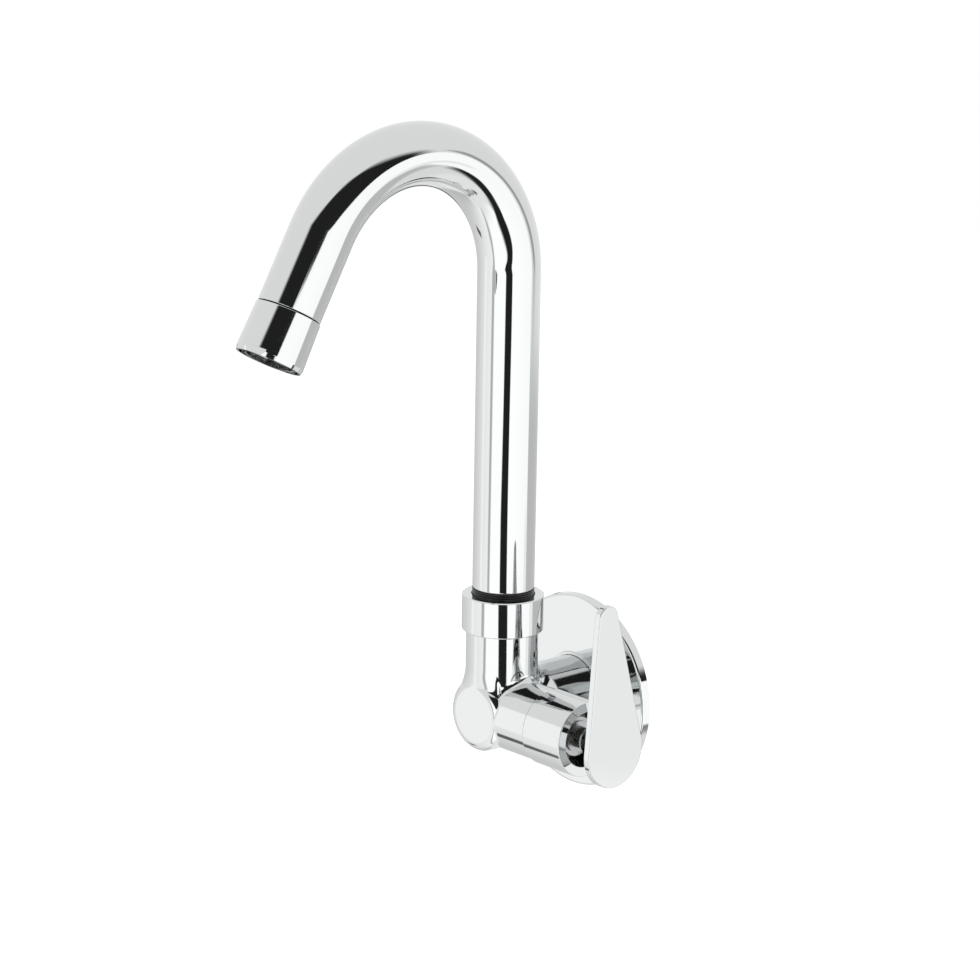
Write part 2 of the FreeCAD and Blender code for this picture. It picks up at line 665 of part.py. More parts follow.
def spout_tube():
    """One pipe: a straight riser, the swan-neck bend and a short down-leg."""
    body = new_body("spout_tube")
    path = new_sketch(body, "pipe_path", "YZ_Plane")
    top = as_size(S.riser_pipe)
    end_turn = math.radians(180 - S.bend_angle.value)
    centre = Vector(-S.bend_radius.value, top.value, 0)
    circle = Part.Circle(centre, Vector(0, 0, 1), S.bend_radius.value)
    bend_end = (-S.bend_radius * (1 - cosine(S.bend_angle)), top + S.bend_radius * sine(S.bend_angle))
    leg_end = (bend_end[0] - S.down_leg * sine(S.bend_angle), bend_end[1] + S.down_leg * cosine(S.bend_angle))
    path.addGeometry(Part.LineSegment(Vector(0, 0, 0), Vector(0, top.value, 0)), False)
    path.addGeometry(Part.ArcOfCircle(circle, 0, math.pi - end_turn), False)
    path.addGeometry(Part.LineSegment(Vector(bend_end[0].value, bend_end[1].value, 0),
                                      Vector(leg_end[0].value, leg_end[1].value, 0)), False)
    path.addConstraint(Sketcher.Constraint("Coincident", 0, 1, -1, 1))
    path.addConstraint(Sketcher.Constraint("Coincident", 0, 2, 1, 1))
    path.addConstraint(Sketcher.Constraint("Coincident", 1, 2, 2, 1))
    pin(path, 0, 2, 0, top)
    pin(path, 1, 3, -S.bend_radius, top)
    hold(path, "DistanceX", bend_end[0], -1, 1, 2, 1)
    pin(path, 2, 2, *leg_end)
    section = new_sketch(body, "pipe_section", "XY_Plane")
    draw_circle(section, S.pipe_radius)
    draw_circle(section, PIPE_BORE)
    pipe = body.newObject("PartDesign::AdditivePipe", "pipe")
    pipe.Profile = section
    pipe.Spine = (path, [])
    dress_rims(body, "Fillet", "pipe_foot", [(S.pipe_radius, 0)], Radius=S.pipe_foot_rounding)
    return place(body, y=-S.riser_reach, z=PIPE_FOOT)


def outlet_adaptor():
    """Threaded tube brazed in the end of the pipe."""
    return at_outlet(turned("outlet_adaptor", tube_corners(
        S.adaptor_bore, SPIGOT_RADIUS, -S.adaptor_spigot, S.adaptor_thread)))


def aerator_housing():
    """Flared shell that screws over the adaptor, with two spanner flats across its bevelled lip."""
    bevel = S.housing_bevel
    shell = turned("housing_shell", [
        (HOUSING_BORE, 0), (HOUSING_TOP - S.housing_step, 0), (HOUSING_TOP, S.housing_step),
        (HOUSING_LIP, S.housing_length - bevel), (HOUSING_LIP - S.housing_bevel_width, S.housing_length),
        (MOUTH_RADIUS, S.housing_length), (MOUTH_RADIUS, INSERT_END), (INSERT_BORE, INSERT_END),
        (INSERT_BORE, INSERT_LEDGE), (HOUSING_BORE, INSERT_LEDGE)])
    width = HOUSING_LIP * 2
    flats = []
    for side, name in ((1, "flat_front"), (-1, "flat_back")):
        flat = box(name, S.flat_depth * 2, width, S.flat_height)
        centre = (HOUSING_LIP - S.flat_depth) if side > 0 else -(HOUSING_LIP + S.flat_depth)
        flats.append(place(flat, x=centre, y=-HOUSING_LIP, z=S.housing_length - S.flat_height))
    pair = fuse("spanner_flats", flats)
    place(pair, rotation=Rotation(Vector(0, 0, 1), S.flat_turn.value))
    pair.setExpression("Placement.Rotation.Angle", S.flat_turn.text)
    return at_outlet(cut("aerator_housing", shell, pair))


def honeycomb_places(rings):
    """Steps along the two axes of a hexagonal grid, for every cell within so many rings."""
    steps = range(-rings, rings + 1)
    return [(along, across) for across in steps for along in steps if abs(along + across) <= rings]


def aerator_insert():
    """Plastic flow straightener with a honeycomb of cells right through it."""
    radius = INSERT_BORE - S.thread_fit
    flange = HOUSING_BORE - S.thread_fit
    plug = turned("insert_plug", [
        (0, GASKET_END), (flange, GASKET_END), (flange, INSERT_LEDGE), (radius, INSERT_LEDGE),
        (radius, INSERT_END), (0, INSERT_END)])
    cells = []
    for number, (along, across) in enumerate(honeycomb_places(HONEYCOMB_RINGS)):
        cell = prism(f"cell_{number}", S.cell_radius, INSERT_END - GASKET_END)
        cells.append(place(cell, x=S.cell_pitch * (math.sqrt(3) / 2 * across),
                           y=S.cell_pitch * (along + across / 2), z=GASKET_END))
    return at_outlet(cut("aerator_insert", plug, fuse("honeycomb", cells)))


def aerator_gasket():
    return at_outlet(turned("aerator_gasket", tube_corners(
        S.adaptor_bore, SPIGOT_RADIUS, S.adaptor_thread, GASKET_END)))


def aerator_screen():
    """Domed steel screen that stands on the insert inside the gasket."""
    rise = S.screen_rise
    dome_radius = (S.screen_radius * S.screen_radius + rise * rise) / (rise * 2)
    centre = GASKET_END - rise + dome_radius
    dome = bind(DOCUMENT.addObject("Part::Sphere", "screen_dome"), Radius=dome_radius,
                Angle2=arcsine((rise - dome_radius) / dome_radius))
    hollow = bind(DOCUMENT.addObject("Part::Sphere", "screen_hollow"), Radius=dome_radius - S.screen_sheet)
    return at_outlet(cut("aerator_screen", place(dome, z=centre), place(hollow, z=centre)))


# The quarter-turn headwork

def cartridge_body():
    """Brass headwork: windowed nose, thread, flange, hexagon and neck with the stop recess."""
    outside = turned("headwork_outside", [
        (0, NOSE_START), (NOSE_RADIUS, NOSE_START), (NOSE_RADIUS, S.nose_depth),
        (HEADWORK_THREAD, S.nose_depth), (HEADWORK_THREAD, FLANGE_START),
        (SLEEVE_BORE - S.thread_fit, FLANGE_START), (SLEEVE_BORE - S.thread_fit, FLANGE_END),
        (S.gland_radius, FLANGE_END), (S.gland_radius, GLAND_END), (0, GLAND_END)])
    hexagon = place(prism("headwork_hexagon", S.spanner_size / math.sqrt(3), S.spanner_depth), z=FLANGE_END)
    inside = turned("headwork_inside", [
        (0, NOSE_START), (S.nose_bore, NOSE_START), (S.nose_bore, S.nose_depth),
        (SPINDLE_BORE, S.nose_depth), (SPINDLE_BORE, GLAND_END), (0, GLAND_END)])
    windows = []
    for number in range(WINDOW_COUNT):
        window = box(f"window_{number}", NOSE_RADIUS * 2, S.window_width, S.window_length)
        angle = 2 * math.pi * number / WINDOW_COUNT
        windows.append(place(window, x=S.window_width * (math.sin(angle) / 2),
                             y=S.window_width * (-math.cos(angle) / 2), z=S.window_start,
                             rotation=Rotation(Vector(0, 0, 1), math.degrees(angle))))
    sweep = S.lever_travel + S.stop_lug + S.stop_play * 2
    recess = sector("stop_recess", S.spindle_radius, S.gland_radius + S.running_fit,
                    GLAND_END - S.stop_depth, S.stop_depth, -S.stop_play, sweep)
    return on_valve(cut("cartridge_body", fuse("headwork_solid", [outside, hexagon]),
                        fuse("headwork_cuts", [inside, recess] + windows)))


def seat_seal():
    return on_valve(turned("seat_seal", tube_corners(
        S.seat_seal_bore, NOSE_RADIUS - S.end_play, S.seat_place, NOSE_START)))


def disc_ports(name, base, first_angle):
    """Two sector ports on opposite sides, the first one centred on an angle."""
    return [sector(f"{name}_port_{side}", S.port_core, S.port_radius, base, S.disc_thickness,
                   first_angle + 180 * side - S.port_angle / 2, S.port_angle) for side in (0, 1)]


def ceramic_disc_fixed():
    disc = place(cylinder("fixed_disc", S.nose_bore - S.thread_fit, S.disc_thickness), z=NOSE_START)
    ports = fuse("fixed_ports", disc_ports("fixed", NOSE_START, as_size(0)))
    return on_valve(cut("ceramic_disc_fixed", disc, ports))


def ceramic_disc_moving():
    """Turned a quarter from the fixed disc's ports at rest, with a slot for the driver bar."""
    disc = place(cylinder("moving_disc", MOVING_RADIUS, S.disc_thickness), z=DISC_JOINT)
    slot_width = S.driver_width + S.end_play
    slot = place(box("driver_slot", MOVING_RADIUS * 2, slot_width, S.driver_grip),
                 x=-MOVING_RADIUS, y=slot_width / -2, z=DRIVER_BASE)
    ports = disc_ports("moving", DISC_JOINT, as_size(90))
    return on_valve(cut("ceramic_disc_moving", disc, fuse("moving_cuts", ports + [slot])))


def splined_bar(name, clearance, start, length):
    """Serrated bar: a star of straight flanks between its root and tip corners."""
    body = new_body(name)
    sketch = new_sketch(body, f"{name}_outline", "XY_Plane", start)
    corners = []
    for corner in range(2 * SPLINE_TEETH):
        radius = (S.spline_tip if corner % 2 else S.spline_root) + clearance
        angle = math.pi * corner / SPLINE_TEETH
        corners.append((radius * round(math.cos(angle), EXACT_DIGITS),
                        radius * round(math.sin(angle), EXACT_DIGITS)))
    draw_outline(sketch, corners)
    pad(body, sketch, f"{name}_pad", length)
    return body


def spindle():
    """Driver bar, inner collar, sealed barrel, journal for washer and clip, and splined end."""
    collar = S.spindle_radius + S.spindle_collar_width
    corners = [(0, DISC_TOP), (S.spindle_neck, DISC_TOP), (S.spindle_neck, SPINDLE_COLLAR_BASE),
               (collar, SPINDLE_COLLAR_BASE), (collar, SPINDLE_COLLAR_TOP),
               (S.spindle_radius, SPINDLE_COLLAR_TOP)]
    corners += groove_corners(S.spindle_radius, SPINDLE_GROOVE, S.spindle_ring_place,
                              S.spindle_cord + S.groove_play)
    journal_end = CLIP_TOP + S.journal_land
    corners += [(S.spindle_radius, WASHER_BASE), (S.journal_radius, WASHER_BASE),
                (S.journal_radius, WASHER_TOP), (CLIP_BORE, WASHER_TOP), (CLIP_BORE, CLIP_TOP),
                (S.journal_radius, CLIP_TOP), (S.journal_radius, journal_end), (0, journal_end)]
    stem = turned("spindle_stem", corners)
    bar_length = (MOVING_RADIUS - S.running_fit) * 2
    bar = place(box("driver_bar", bar_length, S.driver_width, DRIVER_TOP - DRIVER_BASE),
                x=bar_length / -2, y=S.driver_width / -2, z=DRIVER_BASE)
    splines = splined_bar("spindle_splines", as_size(0), journal_end, SPINDLE_END - journal_end)
    return on_valve(fuse("spindle", [stem, bar, splines]))


def spindle_o_ring():
    cord = S.spindle_cord / 2
    return place(ring("spindle_o_ring", SPINDLE_RING_OUTER - cord, cord),
                 x=S.spindle_ring_place, y=-S.riser_reach, rotation=ALONG_VALVE)


def stop_washer():
    """Washer whose lug runs in the recess of the headwork and ends the quarter turn."""
    washer = turned("stop_ring", tube_corners(
        S.journal_radius + S.thread_fit, STOP_OUTER, WASHER_BASE, WASHER_TOP))
    lug = sector("stop_lug", S.spindle_radius + S.thread_fit, STOP_OUTER, WASHER_BASE - S.stop_depth,
                 S.stop_depth, as_size(0), S.stop_lug)
    return on_valve(fuse("stop_washer", [washer, lug]))


def retaining_clip():
    clip = sector("retaining_clip", CLIP_BORE + S.thread_fit, CLIP_BORE + S.clip_width, WASHER_TOP,
                  S.clip_thickness, S.clip_gap / 2, FULL_TURN - S.clip_gap)
    return on_valve(clip)


def bonnet_seal():
    inner = S.valve_thread + S.end_play
    return on_valve(turned("bonnet_seal", tube_corners(
        inner, inner + S.bonnet_width, S.arm_length, FLANGE_START)))


def cover_sleeve():
    inside_end = SLEEVE_END - S.sleeve_end_wall
    body = turned("cover_sleeve", [
        (SLEEVE_BORE, S.arm_length), (SLEEVE_RADIUS, S.arm_length), (SLEEVE_RADIUS, SLEEVE_END),
        (S.sleeve_opening, SLEEVE_END), (S.sleeve_opening, inside_end), (SLEEVE_BORE, inside_end)])
    dress_rims(body, "Fillet", "sleeve_rim", [(SLEEVE_RADIUS, SLEEVE_END)], Radius=S.sleeve_rounding)
    return on_valve(body)


# The lever

def draw_teardrop(sketch):
    """Two round ends joined by tangent lines, the small one up and leaning to the front."""
    root = (S.plate_drop, as_size(0))
    tip = (S.plate_drop - S.plate_span * cosine(S.plate_lean), -S.plate_span * sine(S.plate_lean))
    heading = math.pi + math.radians(S.plate_lean.value)
    spread = math.acos((S.plate_root_radius - S.plate_tip_radius).value / S.plate_span.value)
    ends = ((root, S.plate_root_radius, heading + spread, heading - spread + 2 * math.pi),
            (tip, S.plate_tip_radius, heading - spread, heading + spread))
    for centre, radius, start, end in ends:
        circle = Part.Circle(Vector(centre[0].value, centre[1].value, 0), Vector(0, 0, 1), radius.value)
        sketch.addGeometry(Part.ArcOfCircle(circle, start, end), False)
    root_arc, tip_arc = sketch.Geometry[0], sketch.Geometry[1]
    sketch.addGeometry(Part.LineSegment(root_arc.StartPoint, tip_arc.EndPoint), False)
    sketch.addGeometry(Part.LineSegment(root_arc.EndPoint, tip_arc.StartPoint), False)
    for arc, arc_point, line, line_point in ((0, 1, 2, 1), (1, 2, 2, 2), (0, 2, 3, 1), (1, 1, 3, 2)):
        sketch.addConstraint(Sketcher.Constraint("Tangent", arc, arc_point, line, line_point))
    for arc, (centre, radius, _start, _end) in enumerate(ends):
        pin(sketch, arc, 3, *centre)
        hold(sketch, "Radius", radius, arc)


def plate_edge_names(shape):
    """Names of the edges round the front and back of the plate, without the hub's foot."""
    levels = (PLATE_BACK.value, (PLATE_BACK + S.plate_thickness).value)
    names = []
    for number, edge in enumerate(shape.Edges, start=1):
        bounds = edge.BoundBox
        level = any(max(abs(bounds.ZMin - height), abs(bounds.ZMax - height)) < SAME_PLACE
                    for height in levels)
        middle = edge.valueAt((edge.FirstParameter + edge.LastParameter) / 2)
        if level and math.hypot(middle.x, middle.y) > S.hub_base_radius.value + ON_SURFACE:
            names.append(f"Edge{number}")
    return names


def lever_handle():
    """Teardrop plate on a tapered hub, with a splined bore and a grub screw hole."""
    body = new_body("lever_solid")
    turn(body, "hub", [(0, HUB_END), (S.hub_tip_radius, HUB_END), (S.hub_base_radius, PLATE_BACK),
                       (S.hub_base_radius, PLATE_BACK + S.plate_thickness / 2),
                       (0, PLATE_BACK + S.plate_thickness / 2)])
    dress_rims(body, "Fillet", "hub_end", [(S.hub_tip_radius, HUB_END)], Radius=S.hub_rounding)
    sketch = new_sketch(body, "teardrop", "XY_Plane", PLATE_BACK)
    draw_teardrop(sketch)
    pad(body, sketch, "plate", S.plate_thickness)
    DOCUMENT.recompute()
    dress_edges(body, "Fillet", "plate_edges", plate_edge_names(body.Tip.Shape), Radius=S.plate_rounding)
    bore = splined_bar("hub_bore", S.thread_fit, HUB_END, S.hub_bore_depth)
    hole = place(cylinder("grub_hole", S.grub_radius + S.thread_fit, S.hub_base_radius), z=GRUB_HEIGHT,
                 rotation=Rotation(Vector(0, 1, 0), 90))
    return on_valve(cut("lever_handle", body, fuse("lever_cuts", [bore, hole])))


def handle_grub_screw():
    hub_radius = S.hub_tip_radius + (S.hub_base_radius - S.hub_tip_radius) * S.grub_place / S.hub_length
    length = hub_radius - S.running_fit - GRUB_START
    key = place(prism("grub_socket", S.grub_key, S.grub_key_depth), z=length - S.grub_key_depth)
    screw = cut("handle_grub_screw", cylinder("grub_blank", S.grub_radius, length), key)
    return place(screw, x=GRUB_HEIGHT, y=-S.riser_reach, z=-GRUB_START, rotation=UPSIDE_DOWN)


# Building and writing

def build_parts():
    """Every piece of the tap, from the wall to the outlet and to the lever."""
    return [
        wall_flange(), body_casting(),
        collar_nut(), thrust_washer(), glide_ring(), spout_nipple(), *spout_o_rings(),
        spout_tube(), outlet_adaptor(), aerator_gasket(), aerator_screen(), aerator_insert(),
        aerator_housing(),
        cartridge_body(), seat_seal(), ceramic_disc_fixed(), ceramic_disc_moving(), spindle(),
        spindle_o_ring(), stop_washer(), retaining_clip(), bonnet_seal(), cover_sleeve(),
        lever_handle(), handle_grub_screw(),
    ]


def check(parts):
    """Stops if anything in the document failed or a piece isn't a sound solid."""
    for item in DOCUMENT.Objects:
        if "Invalid" in item.State or "Error" in item.State:
            raise RuntimeError(f"{item.Name} failed: {item.State}")
    for item in parts:
        shape = item.Shape
        if shape.isNull() or not shape.isValid() or len(shape.Solids) != 1:
            raise RuntimeError(f"{item.Label} is not one sound solid")


def write(parts):
    os.makedirs("parts", exist_ok=True)
    for item in parts:
        item.Shape.exportStep(f"parts/{item.Label}.step")
        print(f"{item.Label}: {item.Shape.Volume:.1f} mm3")


PARTS = build_parts()
DOCUMENT.recompute()
check(PARTS)
write(PARTS)
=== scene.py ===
"""The looks of a wall-mounted swan-neck sink tap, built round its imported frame.

Shapes are worked out in millimetres in the frame of the CAD model: +Z up, +Y into the wall, +X towards the
lever, origin where the inlet crosses the wall plane. They become metres only when a mesh is made. Bright
chrome shows every flaw of its surface, so each chromed piece is a grid of points with the exact normal of
its own formula at each point, and the studio is a set of cards that only reflections see.
"""
import json
import logging
import math
from dataclasses import dataclass, field
from enum import Enum
from typing import Any, Iterable, Protocol, Sequence

import bpy
import numpy as np
from mathutils import Matrix, Vector


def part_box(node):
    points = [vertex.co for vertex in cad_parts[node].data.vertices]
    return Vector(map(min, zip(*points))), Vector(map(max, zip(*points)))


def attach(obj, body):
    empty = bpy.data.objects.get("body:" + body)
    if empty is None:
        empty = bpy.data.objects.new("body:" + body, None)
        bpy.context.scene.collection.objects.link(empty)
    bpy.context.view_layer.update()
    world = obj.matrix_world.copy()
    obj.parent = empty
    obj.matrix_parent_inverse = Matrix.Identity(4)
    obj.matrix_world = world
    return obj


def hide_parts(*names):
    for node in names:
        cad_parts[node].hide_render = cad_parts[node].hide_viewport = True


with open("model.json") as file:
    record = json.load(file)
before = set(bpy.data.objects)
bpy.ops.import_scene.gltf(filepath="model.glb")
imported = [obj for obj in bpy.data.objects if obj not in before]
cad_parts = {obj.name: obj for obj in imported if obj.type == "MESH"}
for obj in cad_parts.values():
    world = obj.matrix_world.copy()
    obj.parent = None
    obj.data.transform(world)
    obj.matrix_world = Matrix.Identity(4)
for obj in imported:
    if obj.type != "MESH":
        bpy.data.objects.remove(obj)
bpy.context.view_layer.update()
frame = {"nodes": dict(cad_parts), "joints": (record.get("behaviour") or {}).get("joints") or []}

LOG = logging.getLogger("tap")
Array = np.ndarray
Gap = tuple[Array, Array]       # distance from a solid's skin, and the skin's normal
Tree, Node, Socket, Material = (bpy.types.NodeTree, bpy.types.Node, bpy.types.NodeSocket,
                                bpy.types.Material)

MM = 0.001
TURN = 2 * math.pi
WELD = 1e-3             # millimetres within which two corners are the same point
WELD_SHIFT = 3.17e-4    # keeps round numbers away from the edges of the weld's cells


class Body(Enum):
    """The bodies of the frame that pieces ride on."""
    FIXED = "body"
    SPOUT = "spout"
    LEVER = "lever"


class Slot(Enum):
    """The record's material slots."""
    CHROME = "chrome_plate"
    BRASS = "brass"
    BLACK_ACETAL = "black_acetal"
    NICKEL = "nickel_plate"
    RUBBER = "seal_rubber"
    CERAMIC = "ceramic"
    STEEL = "stainless_steel"


# Places and sizes read from the frame

def span(node: str) -> tuple[Array, Array]:
    """Lowest and highest corner of a CAD node in millimetres."""
    low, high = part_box(node)
    return np.array(low) / MM, np.array(high) / MM


def joint_place(name: str) -> Array:
    """A point of a joint's axis in millimetres."""
    joint = next(row for row in frame["joints"] if row["name"] == name)
    return np.array(joint["pos_m"], float) / MM


def unit(vector: Sequence[float]) -> Array:
    """The vector at length one."""
    vector = np.asarray(vector, float)
    return vector / np.linalg.norm(vector)


X, Y, Z = np.eye(3)
RISER_FOOT = joint_place("spout_swivel") * (1, 1, 0)
CROSSING = joint_place("lever_turn") * (0, 1, 0)


# Surfaces

@dataclass
class Patch:
    """A grid of points with the outward normal at each, both rows x columns x 3, in millimetres."""
    points: Array
    normals: Array

    def winding(self) -> int:
        """1 if rows then columns turn about the outward normal, or -1 if they turn the other way."""
        down = self.points[1:, :-1] - self.points[:-1, :-1]
        across = self.points[:-1, 1:] - self.points[:-1, :-1]
        facing = (np.cross(down, across) * self.normals[:-1, :-1]).sum()
        return 1 if facing > 0 else -1


class Path(Protocol):
    """A line that an outline is carried along."""

    def at(self, distance: Array) -> tuple[Array, Array, Array, Array]:
        """Centre, the two cross directions and the heading at each distance, each n x 3."""


@dataclass(frozen=True)
class Axis:
    """A straight path from an origin, with its angles counted from `across`."""
    origin: Array
    along: Array
    across: Array

    def at(self, distance: Array) -> tuple[Array, Array, Array, Array]:
        """centre = origin + distance * along; the directions stay the same."""
        ones = np.ones_like(distance)[:, None]
        return (self.origin + distance[:, None] * self.along, ones * self.across,
                ones * np.cross(self.along, self.across), ones * self.along)


@dataclass(frozen=True)
class SwanNeck:
    """A path that rises from a foot, bends to the front through an angle and runs on straight."""
    foot: Array
    rise: float
    radius: float
    angle: float

    @property
    def bend_end(self) -> float:
        """Distance at which the bend ends."""
        return self.rise + self.radius * math.radians(self.angle)

    def at(self, distance: Array) -> tuple[Array, Array, Array, Array]:
        """The heading is (0, -sin t, cos t) and the cross direction towards the bend's centre is
        (0, -cos t, -sin t), where t = (distance - rise) / radius held between 0 and the bend's angle."""
        turn = np.clip((distance - self.rise) / self.radius, 0, math.radians(self.angle))
        heading = -np.sin(turn)[:, None] * Y + np.cos(turn)[:, None] * Z
        inwards = -np.cos(turn)[:, None] * Y - np.sin(turn)[:, None] * Z
        centre = self.foot + self.rise * Z - self.radius * Y - self.radius * inwards
        straight = distance - self.rise - self.radius * turn
        ones = np.ones_like(distance)[:, None]
        return centre + straight[:, None] * heading, ones * X, inwards, heading


@dataclass
class Outline:
    """Rows of an outline in the half plane of radius and distance, with the outward normal of each."""
    radius: Array
    distance: Array
    normal_out: Array
    normal_along: Array


def outline(corners: Sequence[tuple[float, ...]], closed: bool = True, arc_rows: int = 6,
            cuts: Sequence[float] = ()) -> Outline:
    """An outline with rounded corners.

    The solid lies on the left of the run through the corners, in a plane with the radius to the right and
    the distance upwards. A side's normal is its direction turned a quarter to the right. A rounded corner
    is the arc that touches both its sides: its centre lies rounding * tan(turn / 2) back from the corner
    and one rounding off the side.

    Args:
        corners: (radius, distance) or (radius, distance, rounding) of each corner.
        closed: whether the last corner runs on to the first.
        arc_rows: steps in a rounded corner.
        cuts: distances at which a side that crosses them gets a row.

    Returns:
        The rows. A sharp corner is there twice, once with the normal of each side.
    """
    at = np.array([corner[:2] for corner in corners], float)
    rounding = [corner[2] if len(corner) > 2 else 0.0 for corner in corners]
    count = len(at)
    sides = np.roll(at, -1, axis=0) - at
    sides /= np.maximum(np.linalg.norm(sides, axis=1, keepdims=True), 1e-12)
    out = np.stack([sides[:, 1], -sides[:, 0]], axis=1)
    rows: list[tuple[Array, Array]] = []
    for index in range(count):
        before = (index - 1) % count
        if not closed and index in (0, count - 1):
            rows.append((at[index], out[index] if index == 0 else out[before]))
            continue
        turn = math.atan2(sides[before][0] * sides[index][1] - sides[before][1] * sides[index][0],
                          float(sides[before] @ sides[index]))
        if rounding[index] == 0 or abs(turn) < 1e-6:
            rows += [(at[index], out[before]), (at[index], out[index])]
            continue
        bulge = math.copysign(rounding[index], turn)
        back = rounding[index] * math.tan(abs(turn) / 2)
        centre = at[index] - back * sides[before] - bulge * out[before]
        start = math.atan2(out[before][1], out[before][0])
        for step in range(arc_rows + 1):
            angle = start + turn * step / arc_rows
            normal = np.array([math.cos(angle), math.sin(angle)])
            rows.append((centre + bulge * normal, normal))
    if closed:
        rows.append(rows[0])
    cut_rows = rows[:1]
    for (start_at, start_out), (end_at, end_out) in zip(rows, rows[1:]):
        low, high = sorted((start_at[1], end_at[1]))
        inside = [cut for cut in cuts if low + WELD < cut < high - WELD]
        for cut in sorted(inside, reverse=end_at[1] < start_at[1]):
            share = (cut - start_at[1]) / (end_at[1] - start_at[1])
            cut_rows.append((start_at + share * (end_at - start_at), start_out))
        cut_rows.append((end_at, end_out))
    places = np.array([row[0] for row in cut_rows])
    normals = np.array([row[1] for row in cut_rows])
    return Outline(places[:, 0], places[:, 1], normals[:, 0], normals[:, 1])


def spokes(angles: Array, across: Array, up: Array) -> Array:
    """Directions at angles in the plane of two others: cos a * across + sin a * up."""
    return np.cos(angles)[..., None] * across + np.sin(angles)[..., None] * up


def sweep(rows: Outline, path: Path, angles: Array) -> Patch:
    """Carries an outline round a path.

    A point at radius r, distance s and angle a is centre(s) + r * spoke, where spoke = cos a * across(s) +
    sin a * up(s). Its normal is out * spoke + along * heading(s), from the outline's own normal.

    Args:
        rows: the outline.
        path: the line it goes round.
        angles: columns, the same for every row or one set for each row.
    """
    centre, across, up, heading = path.at(rows.distance)
    angles = np.broadcast_to(angles, (len(rows.radius), angles.shape[-1]))
    spoke = spokes(angles, across[:, None], up[:, None])
    points = centre[:, None] + rows.radius[:, None, None] * spoke
    normals = rows.normal_out[:, None, None] * spoke + rows.normal_along[:, None, None] * heading[:, None]
    return Patch(points, normals)


def full_turn(columns: int) -> Array:
    """Angles of a whole turn, with the first one again at the end."""
    return np.linspace(0, TURN, columns + 1)


def turned(corners: Sequence[tuple[float, ...]], path: Path, columns: int = 128, **options: Any) -> Patch:
    """A turned piece: an outline carried once round its path."""
    return sweep(outline(corners, **options), path, full_turn(columns))


def make_piece(name: str, patches: Iterable[Patch], finish: "Finish", body: Body,
               replaces: Sequence[str] = ()) -> bpy.types.Object:
    """Welds patches into one mesh and hands it to the frame.

    Corners nearer to each other than the weld become one vertex. A cell whose corners fell together loses
    them, so a pole closes with triangles. Each face's corners keep the normals of their own patch.

    Args:
        name: the piece's name.
        patches: surfaces that meet edge to edge.
        finish: what its surface is.
        body: the body that it rides on.
        replaces: the CAD nodes that it stands for.

    Returns:
        The finished object, at the origin.
    """
    points, normals, corners = [], [], []
    start = 0
    for patch in patches:
        rows, columns = patch.points.shape[:2]
        number = start + np.arange(rows * columns).reshape(rows, columns)
        cell = [number[:-1, :-1], number[1:, :-1], number[1:, 1:], number[:-1, 1:]]
        if patch.winding() < 0:
            cell.reverse()
        corners.append(np.stack([part.ravel() for part in cell], axis=1))
        points.append(patch.points.reshape(-1, 3))
        normals.append(patch.normals.reshape(-1, 3))
        start += rows * columns
    place, normal, cells = np.concatenate(points), np.concatenate(normals), np.concatenate(corners)
    normal = normal / np.maximum(np.linalg.norm(normal, axis=1, keepdims=True), 1e-12)
    keys = np.floor((place + WELD_SHIFT) / WELD + 0.5).astype(np.int64)
    _, first, vertex = np.unique(keys, axis=0, return_index=True, return_inverse=True)
    vertex = vertex.ravel()
    welded = vertex[cells]
    kept = welded != np.roll(welded, 1, axis=1)
    solid = kept.sum(axis=1) >= 3
    cells, welded, kept = cells[solid], welded[solid], kept[solid]
    sizes = kept.sum(axis=1)
    loops = welded[kept]

    mesh = bpy.data.meshes.new(name)
    mesh.vertices.add(len(first))
    mesh.vertices.foreach_set("co", (place[first] * MM).ravel())
    mesh.loops.add(len(loops))
    mesh.loops.foreach_set("vertex_index", loops.astype(np.int32))
    mesh.polygons.add(len(sizes))
    mesh.polygons.foreach_set("loop_start", np.concatenate([[0], np.cumsum(sizes)[:-1]]).astype(np.int32))
    mesh.polygons.foreach_set("use_smooth", np.ones(len(sizes), bool))
    mesh.update(calc_edges=True)
    mesh.validate()
    mesh.normals_split_custom_set(normal[cells][kept].tolist())
    mesh.materials.append(finish.material())

    item = place_object(name, mesh)
    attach(item, body.value)
    if replaces:
        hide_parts(*replaces)
    LOG.info("%s: %d faces", name, len(sizes))
    return item


# Finishes

def linear(colour: str) -> tuple[float, float, float, float]:
    """An sRGB hex colour as linear RGBA."""
    parts = [int(colour[place:place + 2], 16) / 255 for place in (1, 3, 5)]
    red, green, blue = (part / 12.92 if part <= 0.04045 else ((part + 0.055) / 1.055) ** 2.4
                        for part in parts)
    return red, green, blue, 1.0


def add_node(tree: Tree, kind: str, settings: dict[str, Any] | None = None,
             links: dict[Any, Socket] | None = None) -> Node:
    """Adds a node.

    Args:
        tree: the node tree.
        kind: the node's type, without its ShaderNode prefix.
        settings: attributes of the node, or values of its inputs by name or number.
        links: sockets that feed its inputs, by name or number.

    Returns:
        The new node.
    """
    node = tree.nodes.new(f"ShaderNode{kind}")
    for name, value in (settings or {}).items():
        if isinstance(name, str) and hasattr(node, name):
            setattr(node, name, value)
        else:
            node.inputs[name].default_value = value
    for name, source in (links or {}).items():
        tree.links.new(source, node.inputs[name])
    return node


def empty_nodes(owner: Material | bpy.types.World) -> Tree:
    """The cleared node tree of a material or world."""
    owner.use_nodes = True
    owner.node_tree.nodes.clear()
    return owner.node_tree


def place_object(name: str, data: bpy.types.ID) -> bpy.types.Object:
    """A new object in the scene, at the origin."""
    item = bpy.data.objects.new(name, data)
    bpy.context.scene.collection.objects.link(item)
    return item


